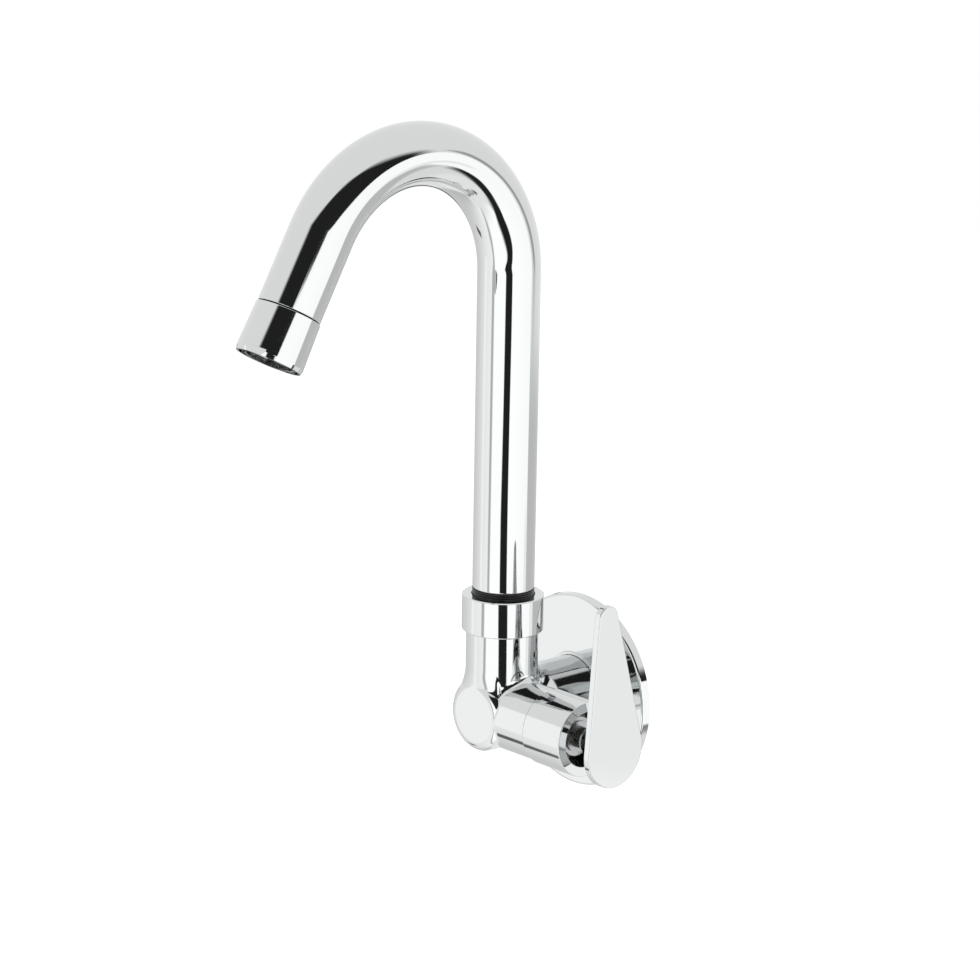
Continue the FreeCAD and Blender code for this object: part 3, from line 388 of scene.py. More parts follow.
@dataclass(frozen=True)
class Finish:
    """A surface finish. Its material is made once and shared."""
    name: str
    slot: Slot
    colour: str
    roughness: float

    def shader(self) -> dict[str, Any]:
        """Settings of the main shader."""
        return {"Base Color": linear(self.colour), "Roughness": self.roughness}

    def dress(self, tree: Tree, place: Socket, main: Node) -> None:
        """Adds the finish's own detail to the main shader."""

    @staticmethod
    def raise_skin(tree: Tree, main: Node, pattern: Node, strength: float,
                   depth: float) -> None:
        """Puts a pattern into the normal, as relief of a depth in millimetres."""
        bump = add_node(tree, "Bump", {"Strength": strength, "Distance": depth * MM},
                        {"Height": pattern.outputs["Fac"]})
        tree.links.new(bump.outputs["Normal"], main.inputs["Normal"])

    def material(self) -> Material:
        """The finish's material."""
        existing = bpy.data.materials.get(self.name)
        if existing:
            return existing
        material = bpy.data.materials.new(self.name)
        tree = empty_nodes(material)
        main = add_node(tree, "BsdfPrincipled", self.shader())
        add_node(tree, "OutputMaterial", links={"Surface": main.outputs["BSDF"]})
        place = add_node(tree, "TexCoord").outputs["Object"]
        self.dress(tree, place, main)
        return material


def per_metre(size: float) -> float:
    """Texture scale at which a pattern repeats about every `size` millimetres."""
    return 1 / (size * MM)


@dataclass(frozen=True)
class Plate(Finish):
    """Bright nickel-chrome plate over polished brass.

    Polishing leaves a shallow unevenness some millimetres across that bends reflections a little, and the
    deposit has a faint haze in clouds, which is only a change of roughness.
    """
    waviness: float = 10.0
    wave_depth: float = 0.0004
    haze: float = 0.03

    def shader(self) -> dict[str, Any]:
        """A metal, with the default IOR."""
        return {**super().shader(), "Metallic": 1.0}

    def dress(self, tree: Tree, place: Socket, main: Node) -> None:
        """Clouds of haze in the roughness, and polishing waves in the normal."""
        clouds = add_node(tree, "TexNoise", {"Scale": per_metre(14.0), "Detail": 4.0}, {"Vector": place})
        haze = add_node(tree, "MapRange", {"From Min": 0.35, "From Max": 0.7, "To Min": self.roughness,
                                           "To Max": self.roughness + self.haze},
                        {"Value": clouds.outputs["Fac"]})
        tree.links.new(haze.outputs["Result"], main.inputs["Roughness"])
        waves = add_node(tree, "TexNoise", {"Scale": per_metre(self.waviness), "Detail": 1.0},
                         {"Vector": place})
        self.raise_skin(tree, main, waves, 1.0, self.wave_depth)


@dataclass(frozen=True)
class TurnedMetal(Finish):
    """Bare metal as it comes off the lathe: fine tool rings round the axis, and a cloudy skin."""
    axis: str = "X"
    ring_pitch: float = 0.35
    ring_depth: float = 0.012
    stain: str = "#8A6A38"

    def shader(self) -> dict[str, Any]:
        """A metal, with the default IOR."""
        return {**super().shader(), "Metallic": 1.0}

    def dress(self, tree: Tree, place: Socket, main: Node) -> None:
        """Tool rings as bands across the axis, in the normal, and a stain in the colour."""
        scale = per_metre(self.ring_pitch) / TURN * 2
        rings = add_node(tree, "TexWave", {"bands_direction": self.axis, "Scale": scale, "Distortion": 0.6,
                                           "Detail": 1.0}, {"Vector": place})
        self.raise_skin(tree, main, rings, 0.6, self.ring_depth)
        clouds = add_node(tree, "TexNoise", {"Scale": per_metre(5.0), "Detail": 5.0}, {"Vector": place})
        stained = add_node(tree, "MapRange", {"From Min": 0.45, "From Max": 0.75},
                           {"Value": clouds.outputs["Fac"]})
        mix = add_node(tree, "Mix", {"data_type": "RGBA", 6: linear(self.colour), 7: linear(self.stain)},
                       {0: stained.outputs["Result"]})
        tree.links.new(mix.outputs[2], main.inputs["Base Color"])


@dataclass(frozen=True)
class Moulded(Finish):
    """Moulded plastic, rubber or fired ceramic: a fine even grain, and patches that are a little duller."""
    grain: float = 0.5
    grain_depth: float = 0.01
    ior: float = 1.48

    def shader(self) -> dict[str, Any]:
        """A dielectric with its own IOR."""
        return {**super().shader(), "IOR": self.ior}

    def dress(self, tree: Tree, place: Socket, main: Node) -> None:
        """Grain in the normal, and clouds in the roughness."""
        grain = add_node(tree, "TexNoise", {"Scale": per_metre(self.grain), "Detail": 2.0}, {"Vector": place})
        self.raise_skin(tree, main, grain, 0.5, self.grain_depth)
        clouds = add_node(tree, "TexNoise", {"Scale": per_metre(4.0), "Detail": 3.0}, {"Vector": place})
        dull = add_node(tree, "MapRange", {"To Min": self.roughness - 0.06, "To Max": self.roughness + 0.1},
                        {"Value": clouds.outputs["Fac"]})
        tree.links.new(dull.outputs["Result"], main.inputs["Roughness"])


CAST_CHROME = Plate("chrome_over_cast_brass", Slot.CHROME, "#D4D6D6", 0.035, wave_depth=0.004)
DRAWN_CHROME = Plate("chrome_over_drawn_tube", Slot.CHROME, "#D4D6D6", 0.025, waviness=25.0, wave_depth=0.002)
TURNED_CHROME = Plate("chrome_over_turned_brass", Slot.CHROME, "#D4D6D6", 0.03, waviness=16.0, wave_depth=0.001)
BRASS = TurnedMetal("turned_brass", Slot.BRASS, "#C8A661", 0.28)
# Painted shade: the outlet adaptor's brass is coloured near black, with clouds darker still, so that the joint
# gap between the pipe's end and the aerator shell shows as a dark shade line. It is not tarnish.
JOINT_SHADE_BRASS = TurnedMetal("brass_darkened_as_joint_shade", Slot.BRASS, "#241C12", 0.5, stain="#15100A")
BLACK_ACETAL = Moulded("moulded_black_acetal", Slot.BLACK_ACETAL, "#141415", 0.32)
NICKEL = TurnedMetal("dull_nickel_over_brass", Slot.NICKEL, "#8E8C88", 0.3, stain="#6F6C68")
RUBBER = Moulded("moulded_seal_rubber", Slot.RUBBER, "#1B1B1C", 0.6, ior=1.52)
ALUMINA = Moulded("lapped_alumina", Slot.CERAMIC, "#E9E6DE", 0.2, grain=0.2, grain_depth=0.002, ior=1.76)
STEEL = TurnedMetal("turned_stainless_steel", Slot.STEEL, "#B9BABC", 0.25, ring_pitch=0.3, stain="#9D9EA2")


# The pieces

@dataclass
class WallFlange:
    """Pressed round cup against the wall, with an open back and a short collar round the barrel."""
    sheet: float = 0.9
    hole: float = 14.65
    taper: float = 0.3
    rim_rounding: float = 1.0
    lip: float = 1.1
    lip_rounding: float = 0.35
    inside_rounding: float = 0.5
    collar_fillet: float = 0.25
    wall_edge: float = 0.15
    cut_edge: float = 0.1
    columns: int = 192

    def build(self) -> None:
        """An outline turned round the inlet's axis, from the wall plane outwards."""
        low, high = span("wall_flange")
        radius, face = float(high[0]), -float(low[1]) - self.lip
        face_radius = radius - self.taper
        inside = face - self.sheet
        path = Axis(np.zeros(3), -Y, X)
        corners = [
            (self.hole, inside), (face_radius - self.sheet, inside, self.inside_rounding),
            (radius - self.sheet, 0, self.cut_edge), (radius, 0, self.wall_edge),
            (face_radius, face, self.rim_rounding), (self.hole + self.sheet, face, self.collar_fillet),
            (self.hole + self.sheet, face + self.lip, self.lip_rounding),
            (self.hole, face + self.lip, self.cut_edge)]
        make_piece("flange_shell", [turned(corners, path, self.columns)], TURNED_CHROME, Body.FIXED,
                   ["wall_flange"])


@dataclass
class BodyCasting:
    """Inlet barrel, riser and valve arm in one casting, with its inlet thread and its blind bores.

    Every limb's axis runs through one crossing point, so from there the skin is met once in each
    direction. Six grids, one round each half axis, hold those directions and meet in planes at 45 degrees.
    """
    barrel: float = 14.5
    riser: float = 14.1
    arm: float = 14.3
    front: float = 14.5
    front_rounding: float = 4.0
    riser_blend: float = 8.0
    shoulder_blend: float = 3.0
    blend_change: float = 3.0
    arm_blend: float = 1.5
    barrel_setback: float = 1.5
    shoulder: float = 33.0
    neck: float = 13.2
    riser_bore: float = 11.2
    riser_floor: float = 18.0
    arm_length: float = 27.9
    valve_bore: float = 10.48
    valve_floor: float = 17.2
    shank: float = 10.48
    inlet_bore: float = 6.5
    inlet_depth: float = 30.0
    thread_pitch: float = 1.814
    thread_depth: float = 1.16
    thread_fade: float = 1.4
    lead_chamfer: float = 1.0
    bore_edge: float = 0.2
    neck_edge: float = 0.4
    inlet_edge: float = 0.3
    quarter_columns: int = 48
    rows: int = 48
    thread_rows: int = 180
    walk_steps: int = 56
    start_distance: float = 90.0

    def cylinder(self, place: Array, radius: float, axis: int) -> Gap:
        """Distance to half an endless cylinder, and its normal; the other half counts as far away."""
        spoke = place.copy()
        spoke[..., axis] = 0
        reach = np.linalg.norm(spoke, axis=-1)
        far = np.where(place[..., axis] < 0, self.start_distance, 0.0)
        return reach - radius + far, spoke / np.maximum(reach, 1e-9)[..., None]

    def barrel_with_front(self, place: Array) -> Gap:
        """Distance to the inlet barrel: endless towards the wall, with a rounded flat front.

        With u = radius from the axis - (barrel - rounding) and v = distance past the start of the front's
        rounding, it is the length of (u, v) held above zero, less the rounding."""
        spoke = place * (1, 0, 1)
        reach = np.linalg.norm(spoke, axis=-1)
        spoke = spoke / np.maximum(reach, 1e-9)[..., None]
        beside = reach - (self.barrel - self.front_rounding)
        beyond = -place[..., 1] - (self.front - self.front_rounding)
        out, ahead = np.maximum(beside, 0), np.maximum(beyond, 0)
        length = np.hypot(out, ahead)
        inside = length == 0
        distance = np.where(inside, np.maximum(beside, beyond), length) - self.front_rounding
        out = np.where(inside, beside > beyond, out)
        ahead = np.where(inside, beside <= beyond, ahead)
        normal = out[..., None] * spoke - ahead[..., None] * Y
        return distance, normal / np.maximum(np.linalg.norm(normal, axis=-1), 1e-9)[..., None]

    def blend(self, first: Gap, second: Gap, radius: Array | float) -> Gap:
        """Joins two solids with the fillet of a ball that touches both.

        With a and b the two distances, m and n their normals and g = m . n, the ball's centre lies at
        p * m + q * n from the point, where p = ((R - a) - g (R - b)) / (1 - g g) and q the same with a and b
        changed over. Where p and q are both positive the point faces the ball, its distance is R less the
        length of that vector, and the vector is its normal. Elsewhere the nearer solid counts.
        """
        (first_gap, first_normal), (second_gap, second_normal) = first, second
        along = (first_normal * second_normal).sum(axis=-1)
        spread = np.maximum(1 - along * along, 1e-6)
        from_first = ((radius - first_gap) - along * (radius - second_gap)) / spread
        from_second = ((radius - second_gap) - along * (radius - first_gap)) / spread
        pull = from_first[..., None] * first_normal + from_second[..., None] * second_normal
        length = np.maximum(np.linalg.norm(pull, axis=-1), 1e-9)
        faces_ball = (from_first > 0) & (from_second > 0)
        nearer = first_gap < second_gap
        gap = np.where(faces_ball, radius - length, np.minimum(first_gap, second_gap))
        normal = np.where(nearer[..., None], first_normal, second_normal)
        return gap, np.where(faces_ball[..., None], pull / length[..., None], normal)

    def skin(self, place: Array) -> Array:
        """Distance from the casting's skin at places relative to the crossing.

        The riser's fillet changes from the barrel's radius to the arm's with the smooth step of the
        difference between the distances to the two."""
        barrel, arm = self.barrel_with_front(place), self.cylinder(place, self.arm, 0)
        share = np.clip(0.5 + (arm[0] - barrel[0]) / self.blend_change, 0, 1)
        radius = self.shoulder_blend + ((self.riser_blend - self.shoulder_blend)
                                        * share * share * (3 - 2 * share))
        with_arm = self.blend(barrel, arm, self.arm_blend)
        return self.blend(with_arm, self.cylinder(place, self.riser, 2), radius)[0]

    def facing(self, place: Array, step: float = 0.01) -> Array:
        """Normal of the skin: the slope of the distance each way along the three axes."""
        return np.stack([self.skin(place + step * axis) - self.skin(place - step * axis) for axis in (X, Y, Z)],
                        axis=-1)

    def face(self, along: Array, first: Array, second: Array, opening: float) -> Patch:
        """The skin round one half axis, out to the 45-degree planes.

        The direction at angle a is along + m (cos a * first + sin a * second). The slope m runs from the
        opening's to 1 / max(|cos a|, |sin a|), in even steps of 1 / m where there is an opening and of m
        where there is none. Each point is found by walking in from outside by the distance left."""
        angles = full_turn(4 * self.quarter_columns)
        edge = 1 / np.maximum(np.abs(np.cos(angles)), np.abs(np.sin(angles)))
        share = np.linspace(0, 1, self.rows + 1)[:, None]
        slope = 1 / ((1 - share) / opening + share / edge) if opening else share * edge
        direction = along + slope[..., None] * spokes(angles, first, second)
        direction /= np.linalg.norm(direction, axis=-1, keepdims=True)
        length = np.full(direction.shape[:-1], self.start_distance)
        for _ in range(self.walk_steps):
            length = length - self.skin(length[..., None] * direction)
        points = length[..., None] * direction
        return Patch(CROSSING + points, self.facing(points))

    def thread(self, path: Axis, start: float, end: float) -> Patch:
        """The inlet thread.

        radius = shank - depth * fade(s) * (1 - w) / 2 - chamfer(s), where w = (2 / pi) asin(0.97 sin(x)) is a
        wave with blunt crests, x = 2 pi s / pitch - a, and fade is 0 at both ends. The normal is
        spoke - dr/ds * heading - (dr/da / r) * tangent, with the slopes taken on the grid."""
        angles = full_turn(4 * self.quarter_columns)
        distance = np.linspace(start, end, self.thread_rows)
        phase = TURN * distance[:, None] / self.thread_pitch - angles
        wave = 2 / math.pi * np.arcsin(0.97 * np.sin(phase))
        fade = np.clip(np.minimum(distance - start, end - distance) / self.thread_fade, 0, 1)[:, None]
        chamfer = np.maximum(distance - (end - self.lead_chamfer), 0)[:, None]
        radius = self.shank - self.thread_depth * fade * (1 - wave) / 2 - chamfer
        by_distance, by_angle = np.gradient(radius, distance, angles)
        centre, across, up, heading = (part[:, None] for part in path.at(distance))
        spoke = spokes(angles, across, up)
        tangent = np.cos(angles)[:, None] * up - np.sin(angles)[:, None] * across
        normals = spoke - by_distance[..., None] * heading - (by_angle / radius)[..., None] * tangent
        return Patch(centre + radius[..., None] * spoke, normals)

    def build(self) -> None:
        """The skin, then what lies beyond each limb's end."""
        wall = -CROSSING[1] - self.barrel_setback
        faces = [(X, Y, Z, self.arm / self.arm_length), (Y, Z, X, self.barrel / wall),
                 (Z, X, Y, self.riser / self.shoulder), (-X, Y, Z, 0.0), (-Y, Z, X, 0.0), (-Z, X, Y, 0.0)]
        patches = [self.face(*row) for row in faces]
        neck_top = span("thrust_washer")[0][2]
        shank_end = span("body_casting")[1][1] - CROSSING[1]
        columns = 4 * self.quarter_columns
        inlet = Axis(CROSSING, Y, Z)
        patches += [
            turned([(self.arm, self.arm_length), (self.valve_bore, self.arm_length, self.bore_edge),
                    (self.valve_bore, self.valve_floor), (0, self.valve_floor)],
                   Axis(CROSSING, X, Y), columns, closed=False),
            turned([(self.riser, self.shoulder), (self.neck, self.shoulder),
                    (self.neck, neck_top, self.neck_edge), (self.riser_bore, neck_top, self.bore_edge),
                    (self.riser_bore, self.riser_floor), (0, self.riser_floor)],
                   Axis(CROSSING, Z, X), columns, closed=False),
            turned([(self.barrel, wall), (self.shank, wall)], inlet, columns, closed=False),
            self.thread(inlet, wall, shank_end),
            turned([(self.shank - self.lead_chamfer, shank_end), (self.inlet_bore, shank_end, self.inlet_edge),
                    (self.inlet_bore, self.inlet_depth), (0, self.inlet_depth)], inlet, columns, closed=False)]
        make_piece("casting_skin", patches, CAST_CHROME, Body.FIXED, ["body_casting"])


@dataclass
class CollarNut:
    """Round nut that holds the spout down."""
    radius: float = 15.9
    bore: float = 13.25
    opening: float = 12.4
    lip: float = 1.3
    chamfer: float = 0.4
    edge: float = 0.12
    columns: int = 160

    def build(self) -> None:
        """An outline turned round the riser's axis."""
        low, high = span("collar_nut")
        foot, top = float(low[2]), float(high[2])
        patch = turned([
            (self.bore, foot, self.edge), (self.radius - self.chamfer, foot, self.edge),
            (self.radius, foot + self.chamfer, self.edge), (self.radius, top - self.chamfer, self.edge),
            (self.radius - self.chamfer, top, self.edge), (self.opening, top, self.edge),
            (self.opening, top - self.lip, self.edge), (self.bore, top - self.lip)],
            Axis(RISER_FOOT, Z, X), self.columns)
        make_piece("collar_shell", [patch], TURNED_CHROME, Body.FIXED, ["collar_nut"])


@dataclass
class GlideRing:
    """Black ring between the collar nut and the pipe, with two shallow grooves in what shows of it."""
    radius: float = 12.1
    flange: float = 12.9
    bore: float = 11.0
    flange_height: float = 1.1
    groove_depth: float = 0.35
    groove_height: float = 0.3
    groove_places: tuple[float, float] = (0.3, 0.68)    # shares of the height that shows
    edge: float = 0.12

    def build(self) -> None:
        """An outline turned round the riser's axis."""
        low, high = span("glide_ring")
        foot, top = float(low[2]), float(high[2])
        shown = float(span("collar_nut")[1][2])
        corners = [(self.bore, foot), (self.flange, foot, self.edge),
                   (self.flange, foot + self.flange_height, self.edge),
                   (self.radius, foot + self.flange_height)]
        for share in self.groove_places:
            middle = shown + share * (top - shown)
            corners += [(self.radius, middle - self.groove_height, self.edge),
                        (self.radius - self.groove_depth, middle),
                        (self.radius, middle + self.groove_height, self.edge)]
        corners += [(self.radius, top, self.edge), (self.bore, top)]
        make_piece("glide_ring_turned", [turned(corners, Axis(RISER_FOOT, Z, X))], BLACK_ACETAL, Body.SPOUT,
                   ["glide_ring"])


@dataclass
class SpoutTube:
    """Bent pipe of the spout, outside and inside."""
    radius: float = 12.0
    wall: float = 1.0
    rise: float = 124.5
    bend_radius: float = 49.2
    bend_angle: float = 150.8
    down_leg: float = 30.5
    foot_rounding: float = 0.7
    end_rounding: float = 0.22
    foot_bore_edge: float = 0.15
    end_bore_edge: float = 0.1
    riser_row_step: float = 12.0
    bend_row_step: float = 1.0
    columns: int = 144

    def path(self) -> SwanNeck:
        """The pipe's centre line."""
        foot = RISER_FOOT + float(span("spout_tube")[0][2]) * Z
        return SwanNeck(foot, self.rise, self.bend_radius, self.bend_angle)

    def outlet(self) -> Axis:
        """The axis that goes on from the end of the pipe, along the water."""
        path = self.path()
        centre, _, inwards, heading = (part[0] for part in path.at(np.array([path.bend_end + self.down_leg])))
        return Axis(centre, heading, X)

    def build(self) -> None:
        """A ring-shaped outline swept along the centre line."""
        path = self.path()
        end = path.bend_end + self.down_leg
        bore = self.radius - self.wall
        cuts = [*np.arange(self.riser_row_step, self.rise, self.riser_row_step),
                *np.arange(self.rise, path.bend_end, self.bend_row_step), path.bend_end]
        patch = turned([(bore, 0, self.foot_bore_edge), (self.radius, 0, self.foot_rounding),
                        (self.radius, end, self.end_rounding), (bore, end, self.end_bore_edge)],
                       path, self.columns, cuts=cuts)
        make_piece("swan_neck_pipe", [patch], DRAWN_CHROME, Body.SPOUT, ["spout_tube"])


@dataclass
class AeratorHousing:
    """Flared shell at the outlet, with an open mouth and two spanner flats across its bevelled lip.

    Round its axis it has four sectors: the two flats, and the plain wall on either side between them.
    """
    bore: float = 11.0
    shoulder: float = 12.3
    shoulder_rounding: float = 0.2
    joint_gap: float = 0.5
    lip: float = 12.85
    length: float = 19.65
    bevel: float = 1.6
    bevel_width: float = 0.4
    bevel_edge: float = 0.25
    ledge: float = 10.5
    ledge_place: float = 9.5
    mouth: float = 11.5
    mouth_depth: float = 2.4
    flat_depth: float = 0.74
    flat_height: float = 2.45
    flat_turn: float = 69.0
    bore_edge: float = 0.1
    flat_columns: int = 25
    wall_columns: int = 73

    @property
    def flat_place(self) -> float:
        """Distance of the flats from the axis."""
        return self.lip - self.flat_depth

    def angles(self, radius: Array, side: int, flat: bool) -> Array:
        """Angles across a flat or across the wall after it, for each row.

        A flat ends where its place = radius * cos(angle from its middle)."""
        half = np.arccos(self.flat_place / radius)[:, None]
        middle = math.radians(self.flat_turn) + math.pi * side
        if flat:
            return middle + half * np.linspace(-1, 1, self.flat_columns)
        return middle + half + (math.pi - 2 * half) * np.linspace(0, 1, self.wall_columns)

    def level(self, path: Axis, radii: tuple[Array, Array], distance: float, angles: Array,
              facing: Array) -> Patch:
        """A face square to the axis, from one set of radii to another."""
        share = np.array([0.0, 1.0])[:, None]
        radius = radii[0] + share * (radii[1] - radii[0])
        centre, across, up, _ = (part[:, None] for part in path.at(np.full(2, distance)))
        points = centre + radius[..., None] * spokes(angles, across, up)
        return Patch(points, np.broadcast_to(facing, points.shape))

    def sector(self, path: Axis, side: int, flat: bool) -> list[Patch]:
        """All of one sector, from the ledge inside over the top, down to the lip and back in at the mouth.

        On a flat the radius is place / cos(angle from its middle), from its shelf down to the end."""
        start = self.length - self.flat_height
        slope = (self.lip - self.shoulder) / (self.length - self.bevel - self.joint_gap)
        shelf = self.shoulder + slope * (start - self.joint_gap)
        end_radius = self.lip - self.bevel_width
        above = outline([(self.bore, self.ledge_place), (self.bore, self.joint_gap, self.bore_edge),
                         (self.shoulder, self.joint_gap, self.shoulder_rounding), (shelf, start)], closed=False)
        band = outline([(shelf, start), (self.lip, self.length - self.bevel, self.bevel_edge),
                        (end_radius, self.length)], closed=False, arc_rows=4)
        inside = outline([(self.mouth, self.length), (self.mouth, self.length - self.mouth_depth),
                          (self.ledge, self.length - self.mouth_depth), (self.ledge, self.ledge_place),
                          (self.bore, self.ledge_place)], closed=False)
        top_angles = self.angles(np.array([shelf]), side, flat)[0]
        end_angles = self.angles(np.array([end_radius]), side, flat)[0]
        angles = self.angles(band.radius, side, flat)
        patches = [sweep(above, path, top_angles), sweep(inside, path, end_angles)]
        if not flat:
            return patches + [sweep(band, path, angles),
                              self.level(path, (end_radius, self.mouth), self.length, end_angles, path.along)]
        middle = math.radians(self.flat_turn) + math.pi * side
        facing = math.cos(middle) * path.across + math.sin(middle) * np.cross(path.along, path.across)
        centre, across, up, _ = (part[:, None] for part in path.at(band.distance))
        radius = self.flat_place / np.cos(angles - middle)
        points = centre + radius[..., None] * spokes(angles, across, up)
        return patches + [Patch(points, np.broadcast_to(facing, points.shape)),
                          self.level(path, (radius[0], shelf), start, top_angles, path.along),
                          self.level(path, (radius[-1], self.mouth), self.length, end_angles, path.along)]

    def build(self, path: Axis) -> None:
        """The four sectors."""
        patches = [patch for side in (0, 1) for flat in (True, False)
                   for patch in self.sector(path, side, flat)]
        make_piece("aerator_shell", patches, TURNED_CHROME, Body.SPOUT, ["aerator_housing"])


@dataclass
class CoverSleeve:
    """Plain sleeve over the headwork, open at its end round the lever's hub."""
    radius: float = 14.85
    wall: float = 1.35
    end_wall: float = 1.5
    opening: float = 10.9
    joint_gap: float = 0.45
    joint_rounding: float = 0.3
    end_rounding: float = 0.4
    mouth_rounding: float = 0.3
    inside_rounding: float = 0.5
    columns: int = 160

    def build(self) -> None:
        """An outline turned round the valve's axis."""
        low, high = span("cover_sleeve")
        start, end = float(low[0]) + self.joint_gap, float(high[0])
        bore = self.radius - self.wall
        patch = turned([
            (bore, start), (self.radius, start, self.joint_rounding), (self.radius, end, self.end_rounding),
            (self.opening, end, self.mouth_rounding), (self.opening, end - self.end_wall, self.mouth_rounding),
            (bore, end - self.end_wall, self.inside_rounding)], Axis(CROSSING, X, Y), self.columns)
        make_piece("valve_cover", [patch], TURNED_CHROME, Body.FIXED, ["cover_sleeve"])


@dataclass
class Lever:
    """Teardrop plate on a tapered hub."""
    root_radius: float = 14.1
    tip_radius: float = 4.8
    between: float = 53.9
    drop: float = 1.1
    lean: float = 5.6
    thickness: float = 2.9
    rounding: float = 0.45
    hub_tip: float = 4.9
    hub_base: float = 8.0
    hub_rounding: float = 0.5
    foot_fillet: float = 0.6
    bore: float = 3.95
    bore_depth: float = 9.4
    hub_columns: int = 96
    side_columns: int = 25
    root_columns: int = 97
    tip_columns: int = 49
    face_rows: int = 8

    def rim(self) -> tuple[Array, Array, Array]:
        """Centre, radius and normal at each place round the teardrop.

        It is the hull of two circles. Round the line between their centres, at `heading`, the normals
        within acos((root - tip) / between) belong to the tip, the others to the root, and along the two
        straight sides the normal stays while centre and radius run from one circle's to the other's."""
        root = np.array([0.0, -self.drop])
        lean = math.radians(self.lean)
        heading = math.pi / 2 - lean
        tip = root + self.between * np.array([math.cos(heading), math.sin(heading)])
        spread = math.acos((self.root_radius - self.tip_radius) / self.between)
        side = np.linspace(0, 1, self.side_columns)
        angles = np.concatenate([
            np.linspace(heading + spread, heading - spread + TURN, self.root_columns),
            np.full(self.side_columns, heading - spread + TURN),
            np.linspace(heading - spread, heading + spread, self.tip_columns) + TURN,
            np.full(self.side_columns, heading + spread + TURN)])
        share = np.concatenate([np.zeros(self.root_columns), side, np.ones(self.tip_columns), side[::-1]])
        centre = root + share[:, None] * (tip - root)
        radius = self.root_radius + share * (self.tip_radius - self.root_radius)
        return centre, radius, np.stack([np.cos(angles), np.sin(angles)], axis=1)

    def plate(self, back: float) -> Patch:
        """The plate: rows from the middle of its back, over the edge, to the middle of its face.

        A row is centre + (radius + offset) * normal while it goes round the edge, and on the two faces the
        radius shrinks to nothing, so that both end in the line between the circles' centres."""
        centre, radius, normal = self.rim()
        front = back + self.thickness
        edge = outline([(-1.0, back), (0.0, back, self.rounding), (0.0, front, self.rounding), (-1.0, front)],
                       closed=False, arc_rows=8)
        offset, height = edge.radius[1:-1], edge.distance[1:-1]
        out, along = edge.normal_out[1:-1], edge.normal_along[1:-1]
        shrink = np.linspace(0, 1, self.face_rows + 1)[:-1]
        rows = np.concatenate([np.outer(shrink, radius - self.rounding), radius + offset[:, None],
                               np.outer(shrink[::-1], radius - self.rounding)])
        flat = np.ones(len(shrink))
        height = np.concatenate([back * flat, height, front * flat])
        out = np.concatenate([0 * flat, out, 0 * flat])
        along = np.concatenate([-flat, along, flat])
        place = centre + rows[..., None] * normal
        points = np.stack([np.broadcast_to(height[:, None], rows.shape), CROSSING[1] - place[..., 0],
                           place[..., 1]], axis=-1)
        normals = np.stack([np.broadcast_to(along[:, None], rows.shape), -out[:, None] * normal[:, 0],
                            out[:, None] * normal[:, 1]], axis=-1)
        return Patch(points, normals)

    def build(self) -> None:
        """The plate and the hub, which reaches a little way into it."""
        low, high = span("lever_handle")
        tip, back = float(low[0]), float(high[0]) - self.thickness
        hub = turned([
            (self.bore, tip), (self.hub_tip, tip, self.hub_rounding),
            (self.hub_base, back, self.foot_fillet), (self.hub_base + self.foot_fillet, back, 0.05),
            (self.hub_base, back + self.thickness / 2), (0, back + self.thickness / 2),
            (0, tip + self.bore_depth), (self.bore, tip + self.bore_depth)],
            Axis(CROSSING, X, Y), self.hub_columns)
        make_piece("teardrop_lever", [self.plate(back), hub], CAST_CHROME, Body.LEVER, ["lever_handle"])


def dress_frame() -> None:
    """Gives the CAD nodes that stay in view their finishes."""
    finishes = {
        BRASS: ["spout_nipple"],
        # painted shade: the adaptor is coloured near black so that the joint gap above the aerator shell reads
        # dark
        JOINT_SHADE_BRASS: ["outlet_adaptor"],
        NICKEL: ["cartridge_body", "spindle"],
        BLACK_ACETAL: ["thrust_washer", "aerator_insert"],
        RUBBER: ["spout_o_ring_lower", "spout_o_ring_upper", "aerator_gasket", "seat_seal", "spindle_o_ring",
                 "bonnet_seal"],
        ALUMINA: ["ceramic_disc_fixed", "ceramic_disc_moving"],
        STEEL: ["aerator_screen", "stop_washer", "retaining_clip", "handle_grub_screw"],
    }
    for finish, nodes in finishes.items():
        for node in nodes:
            for slot in frame["nodes"][node].material_slots:
                slot.material = finish.material()
            LOG.info("%s: %s", node, finish.name)


# The studio

def smooth_line(places: Array, values: Array, at: Array) -> Array:
    """Values between given places by cubic pieces, which keep one slope through each place; flat beyond
    the ends.

    On a piece of length h with t = (at - start) / h, the value is (1 + 2t)(1 - t)^2 a + t^2 (3 - 2t) b +
    h t (1 - t)^2 c - h t^2 (1 - t) d, for the end values a, b and the slopes c, d."""
    slope = np.gradient(values, places)
    at = np.clip(at, places[0], places[-1])
    piece = np.clip(np.searchsorted(places, at) - 1, 0, len(places) - 2)
    length = places[piece + 1] - places[piece]
    t = (at - places[piece]) / length
    return ((1 + 2 * t) * (1 - t) ** 2 * values[piece] + t * t * (3 - 2 * t) * values[piece + 1]
            + length * t * (1 - t) ** 2 * slope[piece] - length * t * t * (1 - t) * slope[piece + 1])


